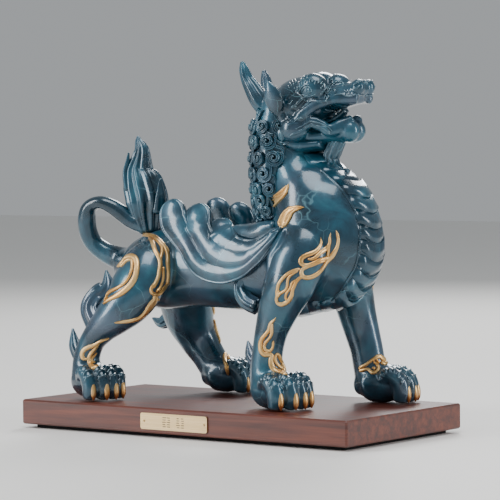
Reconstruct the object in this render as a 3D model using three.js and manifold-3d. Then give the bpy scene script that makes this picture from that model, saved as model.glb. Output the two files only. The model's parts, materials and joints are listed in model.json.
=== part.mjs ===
// A pixiu, the winged lion-dragon of Chinese folk art, striding on a wooden plinth. The beast is one
// metal casting; the plinth, its pad, the name plate and the plate's two pins are pieces of their own.
// Millimetres, +Z up, the head towards +X. The origin is under the middle of the plinth, on the table.
import * as THREE from 'three';
import { mergeVertices } from 'three/addons/utils/BufferGeometryUtils.js';
import Module from 'manifold-3d';

const wasm = await Module();
wasm.setup();

// Plinth, pad and name plate
const PLINTH_LENGTH = 400;
const PLINTH_WIDTH = 200;
const PLINTH_THICKNESS = 25;
const PLINTH_EDGE = 1.5;
const PAD_THICKNESS = 4;
const PAD_INSET = 10;
const PLATE_LENGTH = 82;
const PLATE_HEIGHT = 16;
const PLATE_THICKNESS = 1.2;
const PLATE_CORNER = 2.2;
const PLATE_X = -3.5;
const PLATE_Z = 16;
const PIN_RADIUS = 1.1;
const PIN_HEAD = 0.7;
const PIN_FROM_END = 4;

// The beast's own frame: a little forward and to the far side of the plinth's middle, its soles on the wood
const CONTACT_GAP = 0.3;
const BEAST_X = 4.3;
const BEAST_Y = 4;
const BEAST_Z = PAD_THICKNESS + PLINTH_THICKNESS + CONTACT_GAP;

// Carving that repeats
const CHEST_PLATES = 12;
const TOES = 4;
const TOE_PITCH = 12.3;
const MANE_CURL_ROWS = 7;
const MANE_CURLS_ROUND = 6;
const CURL_HEIGHT = 4.5;
const END_POINT = 0.45;

// A closed three.js geometry as a solid.
function solid(geometry) {
  const bare = geometry.clone();
  bare.deleteAttribute('normal');
  bare.deleteAttribute('uv');
  const merged = mergeVertices(bare, 1e-4);
  return new wasm.Manifold(new wasm.Mesh({
    numProp: 3,
    vertProperties: merged.attributes.position.array,
    triVerts: new Uint32Array(merged.index.array),
  }));
}

// A solid back as a three.js geometry.
function geometryOf(shape) {
  const mesh = shape.getMesh();
  const geometry = new THREE.BufferGeometry();
  geometry.setAttribute('position', new THREE.BufferAttribute(new Float32Array(mesh.vertProperties), 3));
  geometry.setIndex(new THREE.BufferAttribute(new Uint32Array(mesh.triVerts), 1));
  geometry.computeVertexNormals();
  return geometry;
}

// Stations [x, y, z, half-width across, half-depth] on a smooth line, closed at both ends by a low point.
// The width lies along `across`, the depth square to both the width and the line, and `relief` adds
// millimetres to both at a share t of the line and an angle.
function limb(stations, sides = 10, rings = 8, across = [0, 1, 0], relief = () => 0) {
  const line = new THREE.CatmullRomCurve3(stations.map(([x, y, z]) => new THREE.Vector3(x, y, z)));
  const sizes = new THREE.CatmullRomCurve3(stations.map((s) => new THREE.Vector3(s[3], s[4], 0)));
  const geometry = new THREE.SphereGeometry(1, sides, rings + 2);
  const position = geometry.attributes.position;
  const wide = new THREE.Vector3(...across);
  const point = new THREE.Vector3();
  for (let row = 0; row <= rings + 2; row++) {
    const t = THREE.MathUtils.clamp((row - 1) / rings, 0, 1);
    const pole = row === 0 ? -1 : row === rings + 2 ? 1 : 0;
    const centre = line.getPoint(t);
    const along = line.getTangent(t);
    const size = sizes.getPoint(t);
    const u = wide.clone().addScaledVector(along, -wide.dot(along)).normalize();
    const v = along.clone().cross(u);
    for (let column = 0; column <= sides; column++) {
      const angle = -2 * Math.PI * (column % sides) / sides;
      const more = relief(t, angle);
      point.copy(centre).addScaledVector(along, pole * END_POINT * Math.min(size.x, size.y));
      if (pole === 0) {
        point.addScaledVector(u, (size.x + more) * Math.cos(angle))
          .addScaledVector(v, (size.y + more) * Math.sin(angle));
      }
      position.setXYZ(row * (sides + 1) + column, point.x, point.y, point.z);
    }
  }
  return solid(geometry);
}

// An ellipsoid, turned by angles in degrees about X, Y and Z.
function ball(centre, radii, turn = [0, 0, 0], sides = 12, rings = 8) {
  const geometry = new THREE.SphereGeometry(1, sides, rings);
  geometry.scale(...radii);
  const [x, y, z] = turn.map(THREE.MathUtils.degToRad);
  geometry.applyMatrix4(new THREE.Matrix4().makeRotationFromEuler(new THREE.Euler(x, y, z)));
  geometry.translate(...centre);
  return solid(geometry);
}

// The same stations on the other side of the middle plane.
const mirrored = (stations) => stations.map(([x, y, z, ...sizes]) => [x, -y, z, ...sizes]);

const union = (shapes) => shapes.reduce((whole, shape) => whole.add(shape));

function trunkAndNeck() {
  return [
    limb([[-146, 0, 132, 24, 20], [-126, 0, 130, 38, 33], [-98, 0, 130, 42, 41], [-50, 0, 132, 37, 39],
      [0, 0, 134, 39, 43], [45, 0, 138, 44, 46], [82, 0, 148, 47, 51]], 14, 7),
    limb([[88, 0, 103, 12, 14], [91, 0, 110, 22, 29], [95, 0, 120, 31, 42], [98, 0, 134, 39, 53],
      [99, 0, 150, 44, 59], [99, 0, 168, 47, 59], [94, 0, 190, 45, 57], [86, 0, 211, 41, 52],
      [77, 0, 224, 36, 42], [67, 0, 236, 30, 32], [61, 0, 252, 28, 27], [64, 0, 278, 27, 27]], 14, 9),
  ];
}

function legs() {
  const nearFront = [[92, -30, 172, 18, 28], [96, -40, 148, 22, 33], [92, -46, 127, 21, 28],
    [83, -48, 108, 18, 24], [75, -48, 90, 15, 20], [69, -48, 74, 14, 17], [65, -48, 57, 13.5, 16],
    [63, -48, 41, 14, 16.5], [64, -48, 24, 15, 18]];
  const farFront = [[88, 32, 168, 20, 30], [92, 44, 138, 22, 29], [95, 54, 108, 20, 22],
    [98, 58, 88, 17, 20], [103, 60, 68, 15, 18.5], [108, 60, 52, 14, 17.5], [111, 60, 37, 14, 17.5],
    [115, 60, 22, 15, 18]];
  const nearHind = [[-97, -14, 146, 14, 18], [-93, -38, 138, 21, 27], [-92, -52, 118, 22, 29],
    [-98, -59, 102, 20, 26], [-112, -64, 87, 17.5, 21], [-129, -66, 72, 15, 15.5], [-143, -66, 57, 13, 13],
    [-150, -66, 40, 13, 14], [-152, -66, 24, 14, 14]];
  const farHind = [[-94, 32, 140, 20, 30], [-108, 44, 104, 22, 32], [-110, 53, 78, 21, 29],
    [-104, 60, 56, 17.5, 22], [-92, 62, 38, 15, 18.5], [-80, 62, 22, 14, 18]];
  return [nearFront, farFront, nearHind, farHind].map((stations) => limb(stations, 10, 8));
}

// A broad paw with its heel at (x, y), turned `yaw` degrees outwards: the pad, and four toes that arch
// forward and down, each ending in a claw.
function paw(x, y, yaw, size) {
  const turn = THREE.MathUtils.degToRad(yaw);
  const outer = Math.sign(yaw);
  const place = (stations) => stations.map(([px, py, z, a, b]) => [
    x + size * (px * Math.cos(turn) - py * Math.sin(turn)),
    y + size * (px * Math.sin(turn) + py * Math.cos(turn)), z, a * size, b * size]);
  const across = [-Math.sin(turn), Math.cos(turn), 0];
  const pieces = [limb(place([[-13, 0, 15, 10, 9], [-5, 0, 17, 18, 17], [12, 0, 19, 21, 20], [31, 0, 17, 21.5, 15]]),
    9, 3, across)];
  for (let toe = 0; toe < TOES; toe++) {
    const side = toe - (TOES - 1) / 2;
    const back = side * outer > 0 ? 4 : 2;
    const reach = 46 - back * side * side;
    const toeY = side * TOE_PITCH;
    pieces.push(limb(place([[reach - 24, toeY * 0.9, 25, 6, 8], [reach - 14, toeY, 27, 7.2, 8],
      [reach - 7, toeY, 19, 7.2, 9], [reach - 4, toeY, 9, 5.5, 6.5], [reach - 2.5, toeY, 1.5, 2.4, 4]]),
      6, 4, across));
  }
  return pieces;
}

function tail() {
  return [
    limb([[-138, 0, 136, 13, 16], [-154, -2, 139, 11, 13], [-175, -6, 147, 10, 10.5],
      [-185, -11, 156, 9.5, 9.8], [-188, -16, 168, 9, 10.5], [-187, -19, 181, 9, 10],
      [-184, -20, 191, 8.5, 8.5], [-176, -20, 197, 8, 7], [-166, -19, 198, 8, 7],
      [-156, -16, 194, 8, 8], [-147, -11, 187, 8.5, 8.6], [-137, -6, 179, 9, 8.6],
      [-122, 0, 174, 12, 10]], 8, 13),
    limb([[-118, 0, 170, 12, 11], [-121, 0, 185, 15, 17], [-122, 0, 200, 18, 22], [-127, 0, 216, 17, 21],
      [-131, 0, 231, 14, 15.5], [-129, 0, 243, 10, 10], [-128.5, 0, 252, 7, 7.5], [-132, 0, 261, 4, 3.8],
      [-133, 0, 266, 1.5, 1.2]], 10, 8),
    limb([[-139, -8, 212, 6, 6], [-141, -10, 229, 4.5, 4], [-139, -10, 241, 2.6, 2], [-138.6, -9, 249, 1, 1]], 6, 4),
    limb([[-104, -3, 190, 8, 8], [-101, -5, 205, 6, 6], [-99, -7, 216, 3, 2.6], [-98, -8, 222, 1, 1]], 6, 4),
  ];
}

function head() {
  const pieces = [
    ball([76, 0, 294], [36, 31, 29], [0, -12, 0], 10, 7),
    limb([[84, 0, 300, 24, 19], [108, 0, 302, 21, 15], [128, 0, 304, 17.5, 12], [141, 0, 306, 15, 11]], 10, 4),
    ball([142, 0, 311], [8.5, 14, 8.5], [0, 0, 0], 8, 6),
    limb([[70, 0, 266, 27, 16], [94, 0, 264, 22, 10], [116, 0, 266, 15, 9], [133, 0, 270, 12.5, 13]], 10, 4),
    limb([[92, 0, 279, 10, 5], [110, 0, 277, 10, 4], [123, 0, 282, 7, 3.5]], 6, 3),
    limb([[116, 0, 260, 9, 7], [111, 0, 250, 9, 7.5], [108, 0, 242, 8.5, 6], [113, 0, 234, 8, 5.5],
      [122, 0, 229, 6, 4.5], [127, 0, 232, 2.5, 3]], 8, 6),
  ];
  for (const side of [-1, 1]) {
    const place = (stations) => stations.map(([x, y, ...rest]) => [x, side * y, ...rest]);
    pieces.push(ball([100, side * 21, 311], [16, 12.5, 14.5], [0, 0, 0], 8, 6));
    pieces.push(ball([100, side * 30, 304], [6, 4.5, 6], [0, 0, 0], 6, 4));
    pieces.push(ball([80, side * 24, 272], [18, 13, 15], [0, 0, 0], 8, 6));
    pieces.push(limb(place([[141, 13, 301, 4, 6], [124, 19, 299, 4, 5], [104, 24, 292, 4, 5],
      [88, 27, 284, 4, 6]]), 6, 4));
    pieces.push(limb(place([[84, 27, 272, 4, 8], [100, 24, 276, 4, 6], [113, 19, 273, 4, 6],
      [126, 12, 268, 4, 7]]), 6, 4));
    pieces.push(limb(place([[65.5, 30, 290, 5, 6], [66, 35, 297, 5, 10], [65, 38, 305, 4, 10.5],
      [64, 40, 312, 3, 7], [63, 41, 317, 1, 1.5]]), 6, 4));
    pieces.push(limb(place([[62, 28, 270, 7, 9], [70, 29, 257, 8, 9], [84, 27, 250, 8, 8],
      [100, 22, 250, 6, 7]]), 6, 4));
  }
  return pieces;
}

function horns() {
  const near = [[44, -14, 289, 9, 10], [35, -17, 300, 9, 10], [27, -17, 311, 8, 8.5],
    [20, -17, 321, 6, 6.5], [16.5, -18, 331, 4.3, 5], [14.5, -18, 338, 2, 2.2]];
  const far = mirrored(near).map(([x, y, z, ...sizes]) => [x, y, z - 8, ...sizes]);
  return [near, far].map((stations) => limb(stations, 8, 6));
}

// Snail curls stand in rows on the mane, every other row half a curl further round.
function mane() {
  const curls = (t, angle) => {
    const row = t * MANE_CURL_ROWS;
    const turned = MANE_CURLS_ROUND * angle / 2 + Math.PI / 2 * (Math.floor(row) % 2);
    return CURL_HEIGHT * Math.abs(Math.sin(Math.PI * row)) * Math.abs(Math.sin(turned)) - CURL_HEIGHT / 3;
  };
  return [limb([[56, 0, 298, 28, 26], [53, 0, 270, 34, 31], [53, 0, 242, 35, 32], [53, 0, 214, 34, 31],
    [52, 0, 192, 28, 29], [54, 0, 172, 20, 24]], 3 * MANE_CURLS_ROUND, 2 * MANE_CURL_ROWS, [0, 1, 0], curls)];
}

function wings() {
  const feathers = [
    [[-53, -37, 191, 5, 9], [-51, -39, 181, 7, 14], [-43, -41, 171, 7.5, 13], [-32, -42, 157, 8, 12],
      [-18, -43, 142, 8, 10.5], [-1, -44, 133, 8, 9], [19, -45, 131, 7.5, 8], [38, -46, 136, 7, 7],
      [55, -47, 145, 6, 6], [72, -46, 158, 4.5, 5], [86, -42, 176, 3, 4]],
    [[-25.5, -36, 190, 4.5, 8], [-22, -38, 180, 7, 12], [-16, -39, 171, 7, 11], [-7, -40, 160, 7, 10],
      [4, -41, 151, 7, 9.5], [16, -42, 145, 7, 9], [31, -44, 145, 6.5, 8], [44, -45, 149, 6, 7],
      [58, -46, 156, 5, 6], [72, -44, 166, 4, 5], [86, -41, 178, 3, 4]],
    [[-3, -34, 181, 5, 7], [3, -36, 173, 7, 9], [13, -37, 164, 7, 9], [25, -39, 158, 7, 8.5],
      [38, -41, 157, 6.5, 8], [50, -42, 160, 6, 7], [62, -42, 166, 5, 6], [74, -41, 174, 4, 5]],
    [[17, -33, 173, 5, 5], [27, -35, 170, 6, 8], [40, -36, 169, 7, 10], [53, -37, 172, 7, 10],
      [66, -37, 176, 6, 7]],
  ];
  return feathers.flatMap((stations, i) => [stations, mirrored(stations)].map((s) => limb(s, 6, 7 - i)));
}

// The breast's overlapping plates: one band whose width and thickness step back at every plate's lower edge.
function chestPlates() {
  const line = new THREE.CatmullRomCurve3([[104, 0, 236], [118, 0, 224], [134, 0, 209], [146, 0, 191],
    [153, 0, 170], [154, 0, 150], [147, 0, 131], [136, 0, 117], [119, 0, 108], [98, 0, 101],
    [74, 0, 95]].map((p) => new THREE.Vector3(...p)));
  const stations = [];
  for (let i = 0; i < CHEST_PLATES; i++) {
    for (const [step, grow] of [[0.12, 0], [0.92, 1]]) {
      const at = line.getPointAt((i + step) / CHEST_PLATES);
      stations.push([at.x, 0, at.z, 19 + grow * 1.5, 6 + grow * 2.2]);
    }
  }
  return [limb(stations, 8, stations.length - 1)];
}

// Curled tufts behind the elbows and the hocks, and the small spurs above the heels.
function tufts() {
  const shapes = [
    [[46, -40, 98, 7, 8], [31, -37, 104, 7, 8.5], [23, -35, 116, 7, 7], [27, -35, 127, 6, 6], [30, -34, 140, 1, 1]],
    [[-136, -64, 76, 9, 14], [-146, -61, 92, 9, 13], [-143, -56, 104, 8, 11], [-134, -51, 113, 6, 9],
      [-136, -50, 130, 1, 1]],
    [[-158, -64, 38, 5, 8], [-168, -62, 52, 5, 7], [-173, -60, 70, 1, 1]],
    [[52, -46, 42, 5, 8], [42, -44, 51, 5, 6.5], [37, -43, 64, 1, 1]],
  ];
  const far = [
    [[48, 46, 100, 7, 8], [38, 44, 108, 7, 8], [34, 42, 120, 6, 5], [36, 41, 134, 1, 1]],
    [[-138, 56, 76, 6, 9], [-150, 58, 70, 6, 6], [-164, 60, 74, 1, 1]],
    [[-98, 64, 26, 4, 6], [-108, 64, 34, 4, 4], [-118, 64, 44, 1, 1]],
  ];
  return [...shapes, ...far].map((stations) => limb(stations, 6, 4));
}

function beast() {
  const whole = union([...trunkAndNeck(), ...legs(), ...paw(64, -48, -10, 1), ...paw(114, 60, 19, 1),
    ...paw(-150, -66, -14, 0.92), ...paw(-80, 62, 16, 0.95), ...tail(), ...head(), ...horns(), ...mane(),
    ...wings(), ...chestPlates(), ...tufts()]);
  const ground = new THREE.BoxGeometry(600, 400, 40);
  ground.translate(0, 0, -20);
  return whole.subtract(solid(ground));
}

function roundedRectangle(length, width, corner) {
  const shape = new THREE.Shape();
  const [x, y] = [length / 2, width / 2];
  shape.moveTo(-x + corner, -y);
  shape.lineTo(x - corner, -y);
  shape.absarc(x - corner, -y + corner, corner, -Math.PI / 2, 0);
  shape.absarc(x - corner, y - corner, corner, 0, Math.PI / 2);
  shape.absarc(-x + corner, y - corner, corner, Math.PI / 2, Math.PI);
  shape.absarc(-x + corner, -y + corner, corner, Math.PI, Math.PI * 1.5);
  return shape;
}

function plinthGeometry() {
  const geometry = new THREE.ExtrudeGeometry(
    roundedRectangle(PLINTH_LENGTH - 2 * PLINTH_EDGE, PLINTH_WIDTH - 2 * PLINTH_EDGE, 0.8),
    { depth: PLINTH_THICKNESS - 2 * PLINTH_EDGE, bevelThickness: PLINTH_EDGE, bevelSize: PLINTH_EDGE,
      bevelSegments: 1, curveSegments: 2 });
  geometry.translate(0, 0, PLINTH_EDGE);
  return geometry;
}

function padGeometry() {
  return new THREE.ExtrudeGeometry(
    roundedRectangle(PLINTH_LENGTH - 2 * PAD_INSET, PLINTH_WIDTH - 2 * PAD_INSET, 3),
    { depth: PAD_THICKNESS - CONTACT_GAP, bevelEnabled: false, curveSegments: 2 });
}

function plateGeometry() {
  return new THREE.ExtrudeGeometry(roundedRectangle(PLATE_LENGTH, PLATE_HEIGHT, PLATE_CORNER),
    { depth: PLATE_THICKNESS, bevelEnabled: false, curveSegments: 3 });
}

const patina = new THREE.MeshStandardMaterial({ color: 0x2f5f73, roughness: 0.25, metalness: 0.5 });
const wood = new THREE.MeshStandardMaterial({ color: 0x6e3326, roughness: 0.4, metalness: 0 });
const felt = new THREE.MeshStandardMaterial({ color: 0x121212, roughness: 0.9, metalness: 0 });
const brass = new THREE.MeshStandardMaterial({ color: 0xe0bd80, roughness: 0.35, metalness: 0.9 });

function piece(name, geometry, material) {
  const mesh = new THREE.Mesh(geometry, material);
  mesh.name = name;
  return mesh;
}

const statue = new THREE.Group();

const pixiu = piece('pixiu', geometryOf(beast()), patina);
pixiu.position.set(BEAST_X, BEAST_Y, BEAST_Z);
statue.add(pixiu);

const plinth = piece('plinth', plinthGeometry(), wood);
plinth.position.z = PAD_THICKNESS;
statue.add(plinth);

statue.add(piece('plinth_pad', padGeometry(), felt));

const namePlate = new THREE.Group();
namePlate.position.set(PLATE_X, -PLINTH_WIDTH / 2 - CONTACT_GAP, PLATE_Z);
namePlate.rotation.x = Math.PI / 2;
namePlate.add(piece('name_plate', plateGeometry(), brass));
for (const [name, side] of [['plate_pin_left', -1], ['plate_pin_right', 1]]) {
  const pin = piece(name, new THREE.CylinderGeometry(PIN_RADIUS, PIN_RADIUS, PIN_HEAD, 12), brass);
  pin.rotation.x = Math.PI / 2;
  pin.position.set(side * (PLATE_LENGTH / 2 - PIN_FROM_END), 0,
    PLATE_THICKNESS + CONTACT_GAP + PIN_HEAD / 2);
  namePlate.add(pin);
}
statue.add(namePlate);

export default statue;
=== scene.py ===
import json
import math
import bmesh
import bpy
import numpy as np
from mathutils import Euler, Matrix, Vector

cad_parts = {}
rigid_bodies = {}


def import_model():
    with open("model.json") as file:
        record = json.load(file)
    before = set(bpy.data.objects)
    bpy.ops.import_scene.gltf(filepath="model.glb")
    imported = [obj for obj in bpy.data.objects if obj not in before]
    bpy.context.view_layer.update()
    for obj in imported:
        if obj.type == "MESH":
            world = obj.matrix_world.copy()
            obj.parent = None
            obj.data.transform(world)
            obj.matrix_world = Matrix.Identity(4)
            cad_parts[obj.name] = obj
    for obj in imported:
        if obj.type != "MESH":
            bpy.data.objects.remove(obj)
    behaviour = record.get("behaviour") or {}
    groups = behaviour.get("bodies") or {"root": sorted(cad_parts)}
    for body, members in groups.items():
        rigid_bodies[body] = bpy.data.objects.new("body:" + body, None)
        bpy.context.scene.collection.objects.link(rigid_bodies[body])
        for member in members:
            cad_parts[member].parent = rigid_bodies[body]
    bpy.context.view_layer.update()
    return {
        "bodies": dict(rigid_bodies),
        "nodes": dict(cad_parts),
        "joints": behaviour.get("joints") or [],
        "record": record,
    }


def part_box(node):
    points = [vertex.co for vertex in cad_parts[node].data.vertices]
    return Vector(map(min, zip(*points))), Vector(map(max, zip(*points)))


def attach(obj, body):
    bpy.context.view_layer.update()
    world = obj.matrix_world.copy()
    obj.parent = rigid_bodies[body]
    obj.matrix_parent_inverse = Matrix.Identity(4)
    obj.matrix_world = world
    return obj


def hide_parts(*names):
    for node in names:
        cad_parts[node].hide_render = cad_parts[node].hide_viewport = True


# A pixiu statue: one metal casting with a teal patina and gilded flames, on a hardwood plinth with a
# name plate. The beast is modelled in millimetres in its own frame and set in its place at the end.
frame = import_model()

# Camera
# A long lens from the beast's near front quarter, level with its chest, as the photograph was taken.
CAMERA_PLACE = Vector((1.583181, -2.122621, 0.287716))
CAMERA_YAW, CAMERA_DOWN, CAMERA_ROLL = math.radians(36.438), math.radians(2.318), math.radians(-0.456)
PICTURE_SIDE = 500
FOCAL_PIXELS = 2648.8
SENSOR_MM = 36.0
FARTHEST_SEEN = 20.0

camera_turn = (Matrix.Rotation(CAMERA_YAW, 4, "Z") @ Matrix.Rotation(math.pi / 2 - CAMERA_DOWN, 4, "X")
               @ Matrix.Rotation(CAMERA_ROLL, 4, "Z"))
camera_data = bpy.data.cameras.new("camera")
camera_data.sensor_width = SENSOR_MM
camera_data.lens = SENSOR_MM * FOCAL_PIXELS / PICTURE_SIDE
camera_data.clip_end = FARTHEST_SEEN
camera = bpy.data.objects.new("camera", camera_data)
camera.matrix_world = Matrix.Translation(CAMERA_PLACE) @ camera_turn
bpy.context.scene.collection.objects.link(camera)
bpy.context.scene.camera = camera

# The casting's body
# Trunk, breast, legs, paws and tail are one hollow casting. The forms are limbs of an oval section
# through stations (x, y, z, half width, half depth), melted together and smoothed as wax would be.
MM = 0.001
BEAST_PLACE = Vector((4.3, 4.0, 29.3))
BODY_VOXEL = 1.05
TRUNK = ((-146, 0, 132, 24, 20), (-126, 0, 130, 38, 33), (-98, 0, 130, 42, 41), (-50, 0, 132, 37, 39),
         (0, 0, 134, 39, 43), (45, 0, 138, 44, 46), (82, 0, 148, 47, 51))
BREAST = ((88, 0, 103, 12, 14), (91, 0, 110, 22, 29), (95, 0, 120, 31, 42), (98, 0, 134, 39, 53),
          (99, 0, 150, 44, 59), (99, 0, 168, 47, 59), (94, 0, 190, 45, 55), (85, 0, 207, 41, 41),
          (74, 0, 222, 35, 33), (66, 0, 238, 30, 28), (62, 0, 254, 28, 26), (64, 0, 278, 27, 27))
PLATE_BAND = ((104, 0, 236), (118, 0, 224), (134, 0, 209), (146, 0, 191), (153, 0, 170), (154, 0, 150),
              (147, 0, 131), (136, 0, 117), (119, 0, 108), (98, 0, 101), (74, 0, 95))
BAND_HALF, BAND_THICK = 18, 5
NEAR_FRONT_LEG = ((92, -30, 172, 18, 28), (96, -40, 148, 22, 33), (92, -46, 127, 21, 28),
                  (83, -48, 108, 18, 24), (75, -48, 90, 15, 20), (69, -48, 74, 14, 17),
                  (65, -48, 57, 13.5, 16), (63, -48, 41, 14, 16.5), (64, -48, 24, 15, 18))
FAR_FRONT_LEG = ((88, 32, 168, 20, 30), (92, 44, 138, 22, 29), (95, 54, 108, 20, 22),
                 (98, 58, 88, 17, 20), (103, 60, 68, 15, 18.5), (108, 60, 52, 14, 17.5),
                 (111, 60, 37, 14, 17.5), (115, 60, 22, 15, 18))
NEAR_HIND_LEG = ((-97, -14, 146, 14, 18), (-93, -38, 138, 21, 27), (-92, -52, 118, 22, 29),
                 (-98, -59, 102, 20, 26), (-112, -64, 87, 17.5, 21), (-129, -66, 72, 15, 15.5),
                 (-143, -66, 57, 13, 13), (-150, -66, 40, 13, 14), (-152, -66, 24, 14, 14))
FAR_HIND_LEG = ((-94, 32, 140, 20, 30), (-108, 44, 104, 22, 32), (-110, 53, 78, 21, 29),
                (-104, 60, 56, 17.5, 22), (-92, 62, 38, 15, 18.5), (-80, 62, 22, 14, 18))
TAIL = ((-138, 0, 136, 13, 16), (-154, -2, 139, 11, 13), (-175, -6, 147, 10, 10.5),
        (-185, -11, 156, 9.5, 9.8), (-188, -16, 168, 9, 10.5), (-187, -19, 181, 9, 10),
        (-184, -20, 191, 8.5, 8.5), (-176, -20, 197, 8, 7), (-166, -19, 198, 8, 7), (-156, -16, 194, 8, 8),
        (-147, -11, 187, 8.5, 8.6), (-137, -6, 179, 9, 8.6), (-122, 0, 174, 12, 10))
# Each paw: its heel's x and y, degrees outwards, size.
PAWS = ((64, -48, -10, 1.0), (114, 60, 19, 1.0), (-150, -66, -14, 0.92), (-80, 62, 16, 0.95))
PAW_PAD = ((-13, 0, 15, 10, 9), (-5, 0, 17, 18, 17), (12, 0, 19, 21, 20), (31, 0, 17, 21.5, 15))
PAD_POINT = 0.6
# A toe's stations: how far behind its reach, share of its side, z, half width, half depth.
TOE = ((27, 0.85, 24, 6, 8), (16, 1, 27.5, 7.2, 8.2), (9, 1, 21, 7.5, 9.2), (7, 1, 11, 7.2, 9),
       (8, 1, 4, 6.4, 7.5))
TOES, TOE_PITCH, TOE_REACH = 4, 12.3, 46
INNER_TOE_BACK, OUTER_TOE_BACK = 2, 4
SAME_PLACE, NO_LENGTH = 1e-4, 1e-9
END_RINGS, END_SPREAD, END_POINT, THINNEST = 3, 3.4, 0.45, 0.4
LOOK_AHEAD = 1e-3


def smooth_line(points):
    """A line through points of any dimension, as a function of t from 0 to 1."""
    p = np.array(points, float)
    p = np.vstack([2 * p[0] - p[1], p, 2 * p[-1] - p[-2]])
    spans = len(p) - 3

    def at(t):
        i = min(max(int(t * spans), 0), spans - 1)
        w = t * spans - i
        a, b, c, d = p[i:i + 4]
        first, middle, last = (np.linalg.norm(q) ** 0.5 for q in (b - a, c - b, d - c))
        middle = middle if middle > SAME_PLACE else 1.0
        first = first if first > SAME_PLACE else middle
        last = last if last > SAME_PLACE else middle
        leave = ((b - a) / first - (c - a) / (first + middle) + (c - b) / middle) * middle
        arrive = ((c - b) / middle - (d - b) / (middle + last) + (d - c) / last) * middle
        return (b + leave * w + (3 * (c - b) - 2 * leave - arrive) * w * w
                + (2 * (b - c) + leave + arrive) * w ** 3)

    return at


def sweep(parts, places, section):
    """Adds to `parts` a closed skin round a row of matrices that lay the section's outline in place."""
    bm = bmesh.new()
    ring = bmesh.ops.create_circle(bm, cap_ends=True, segments=len(section), radius=1.0)["verts"]
    for vert, (a, b) in zip(ring, section):
        vert.co = (a, b, 0)
    edges = list({edge for vert in ring for edge in vert.link_edges})
    bmesh.ops.transform(bm, matrix=places[0], verts=ring)
    for before, after in zip(places, places[1:]):
        made = bmesh.ops.extrude_edge_only(bm, edges=edges)["geom"]
        ring = [part for part in made if isinstance(part, bmesh.types.BMVert)]
        inside = set(ring)
        edges = [part for part in made if isinstance(part, bmesh.types.BMEdge)
                 and part.verts[0] in inside and part.verts[1] in inside]
        bmesh.ops.transform(bm, matrix=after @ before.inverted(), verts=ring)
    bmesh.ops.contextual_create(bm, geom=edges)
    bmesh.ops.recalc_face_normals(bm, faces=bm.faces)
    keep(parts, bm)


def keep(parts, bm):
    part = bpy.data.meshes.new("part")
    bm.to_mesh(part)
    bm.free()
    parts.append(part)


def joined(parts):
    """One mesh of all the parts."""
    bm = bmesh.new()
    for part in parts:
        bm.from_mesh(part)
        bpy.data.meshes.remove(part)
    whole = bpy.data.meshes.new("whole")
    bm.to_mesh(whole)
    bm.free()
    return whole


def laid(centre, wide, deep, along):
    """The matrix that takes the outline's X and Y to the vectors `wide` and `deep` at `centre`."""
    columns = (wide, deep, along, centre)
    return Matrix([[float(column[row]) for column in columns] for row in range(3)] + [[0, 0, 0, 1]])


def oval(sides, flutes=0, fluting=0.0):
    """The outline of a round limb, or of one with flutes along it."""
    turns = [2 * math.pi * k / sides for k in range(sides)]
    return [(math.cos(turn) * (1 + fluting * math.cos(flutes * turn)),
             math.sin(turn) * (1 + fluting * math.cos(flutes * turn))) for turn in turns]


def limb(parts, stations, across=(0, 1, 0), sides=28, step=2.2, point=END_POINT, section=None):
    """A limb of oval section with rounded ends. Its width lies along `across`."""
    line = smooth_line([s[:3] for s in stations])
    sizes = smooth_line([s[3:5] for s in stations])
    length = sum(math.dist(a[:3], b[:3]) for a, b in zip(stations, stations[1:]))
    rings = max(5, round(length / step))
    places = []
    for k in range(-END_RINGS, rings + END_RINGS + 1):
        t = min(max(k / rings, 0), 1)
        over = (max(-k, 0) - max(k - rings, 0)) / END_SPREAD
        along = line(min(t + LOOK_AHEAD, 1)) - line(max(t - LOOK_AHEAD, 0))
        along /= np.linalg.norm(along)
        size = np.maximum(sizes(t), THINNEST)
        shrink = math.sqrt(1 - over * over)
        wide = np.array(across, float) - along * np.dot(across, along)
        wide /= np.linalg.norm(wide)
        deep = np.cross(along, wide)
        centre = line(t) - along * over * point * min(size)
        places.append(laid(centre, wide * size[0] * shrink, deep * size[1] * shrink, along))
    sweep(parts, places, section or oval(sides))


def ball(parts, centre, radii, turn=(0, 0, 0), subdivisions=4):
    bm = bmesh.new()
    place = Matrix.LocRotScale(Vector(centre), Euler([math.radians(a) for a in turn]), Vector(radii))
    bmesh.ops.create_icosphere(bm, subdivisions=subdivisions, radius=1.0, matrix=place)
    keep(parts, bm)


def other_side(stations):
    return tuple((x, -y, z, *sizes) for x, y, z, *sizes in stations)


def placed_paw(stations, paw):
    """Stations of a paw that points along +X from the origin, set at its heel."""
    heel_x, heel_y, yaw, size = paw
    c, s = math.cos(math.radians(yaw)), math.sin(math.radians(yaw))
    return tuple((heel_x + size * (x * c - y * s), heel_y + size * (x * s + y * c), z, a * size, b * size)
                 for x, y, z, a, b in stations)


def paw_across(paw):
    """The way across a paw, square to where it points."""
    turn = math.radians(paw[2])
    return -math.sin(turn), math.cos(turn), 0


def toe_reach(toe, paw):
    """How far a toe reaches in front of the heel, and how far it lies to the side."""
    side = toe - (TOES - 1) / 2
    back = OUTER_TOE_BACK if side * paw[2] > 0 else INNER_TOE_BACK
    return TOE_REACH - back * side * side, side * TOE_PITCH


def on_toe(stations, toe, paw):
    """A toe's stations set on a toe of a paw."""
    reach, side = toe_reach(toe, paw)
    return placed_paw([(reach - back, side * share, *rest) for back, share, *rest in stations], paw)


def linked(name, mesh):
    piece = bpy.data.objects.new(name, mesh)
    bpy.context.scene.collection.objects.link(piece)
    return piece


def melted(parts, voxel):
    """The parts melted into one skin."""
    forms = linked("forms", joined(parts))
    melt = forms.modifiers.new("melt", "REMESH")
    melt.mode = "VOXEL"
    melt.voxel_size = voxel
    skin = bpy.data.meshes.new_from_object(forms.evaluated_get(bpy.context.evaluated_depsgraph_get()))
    bpy.data.objects.remove(forms)
    return skin


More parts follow.
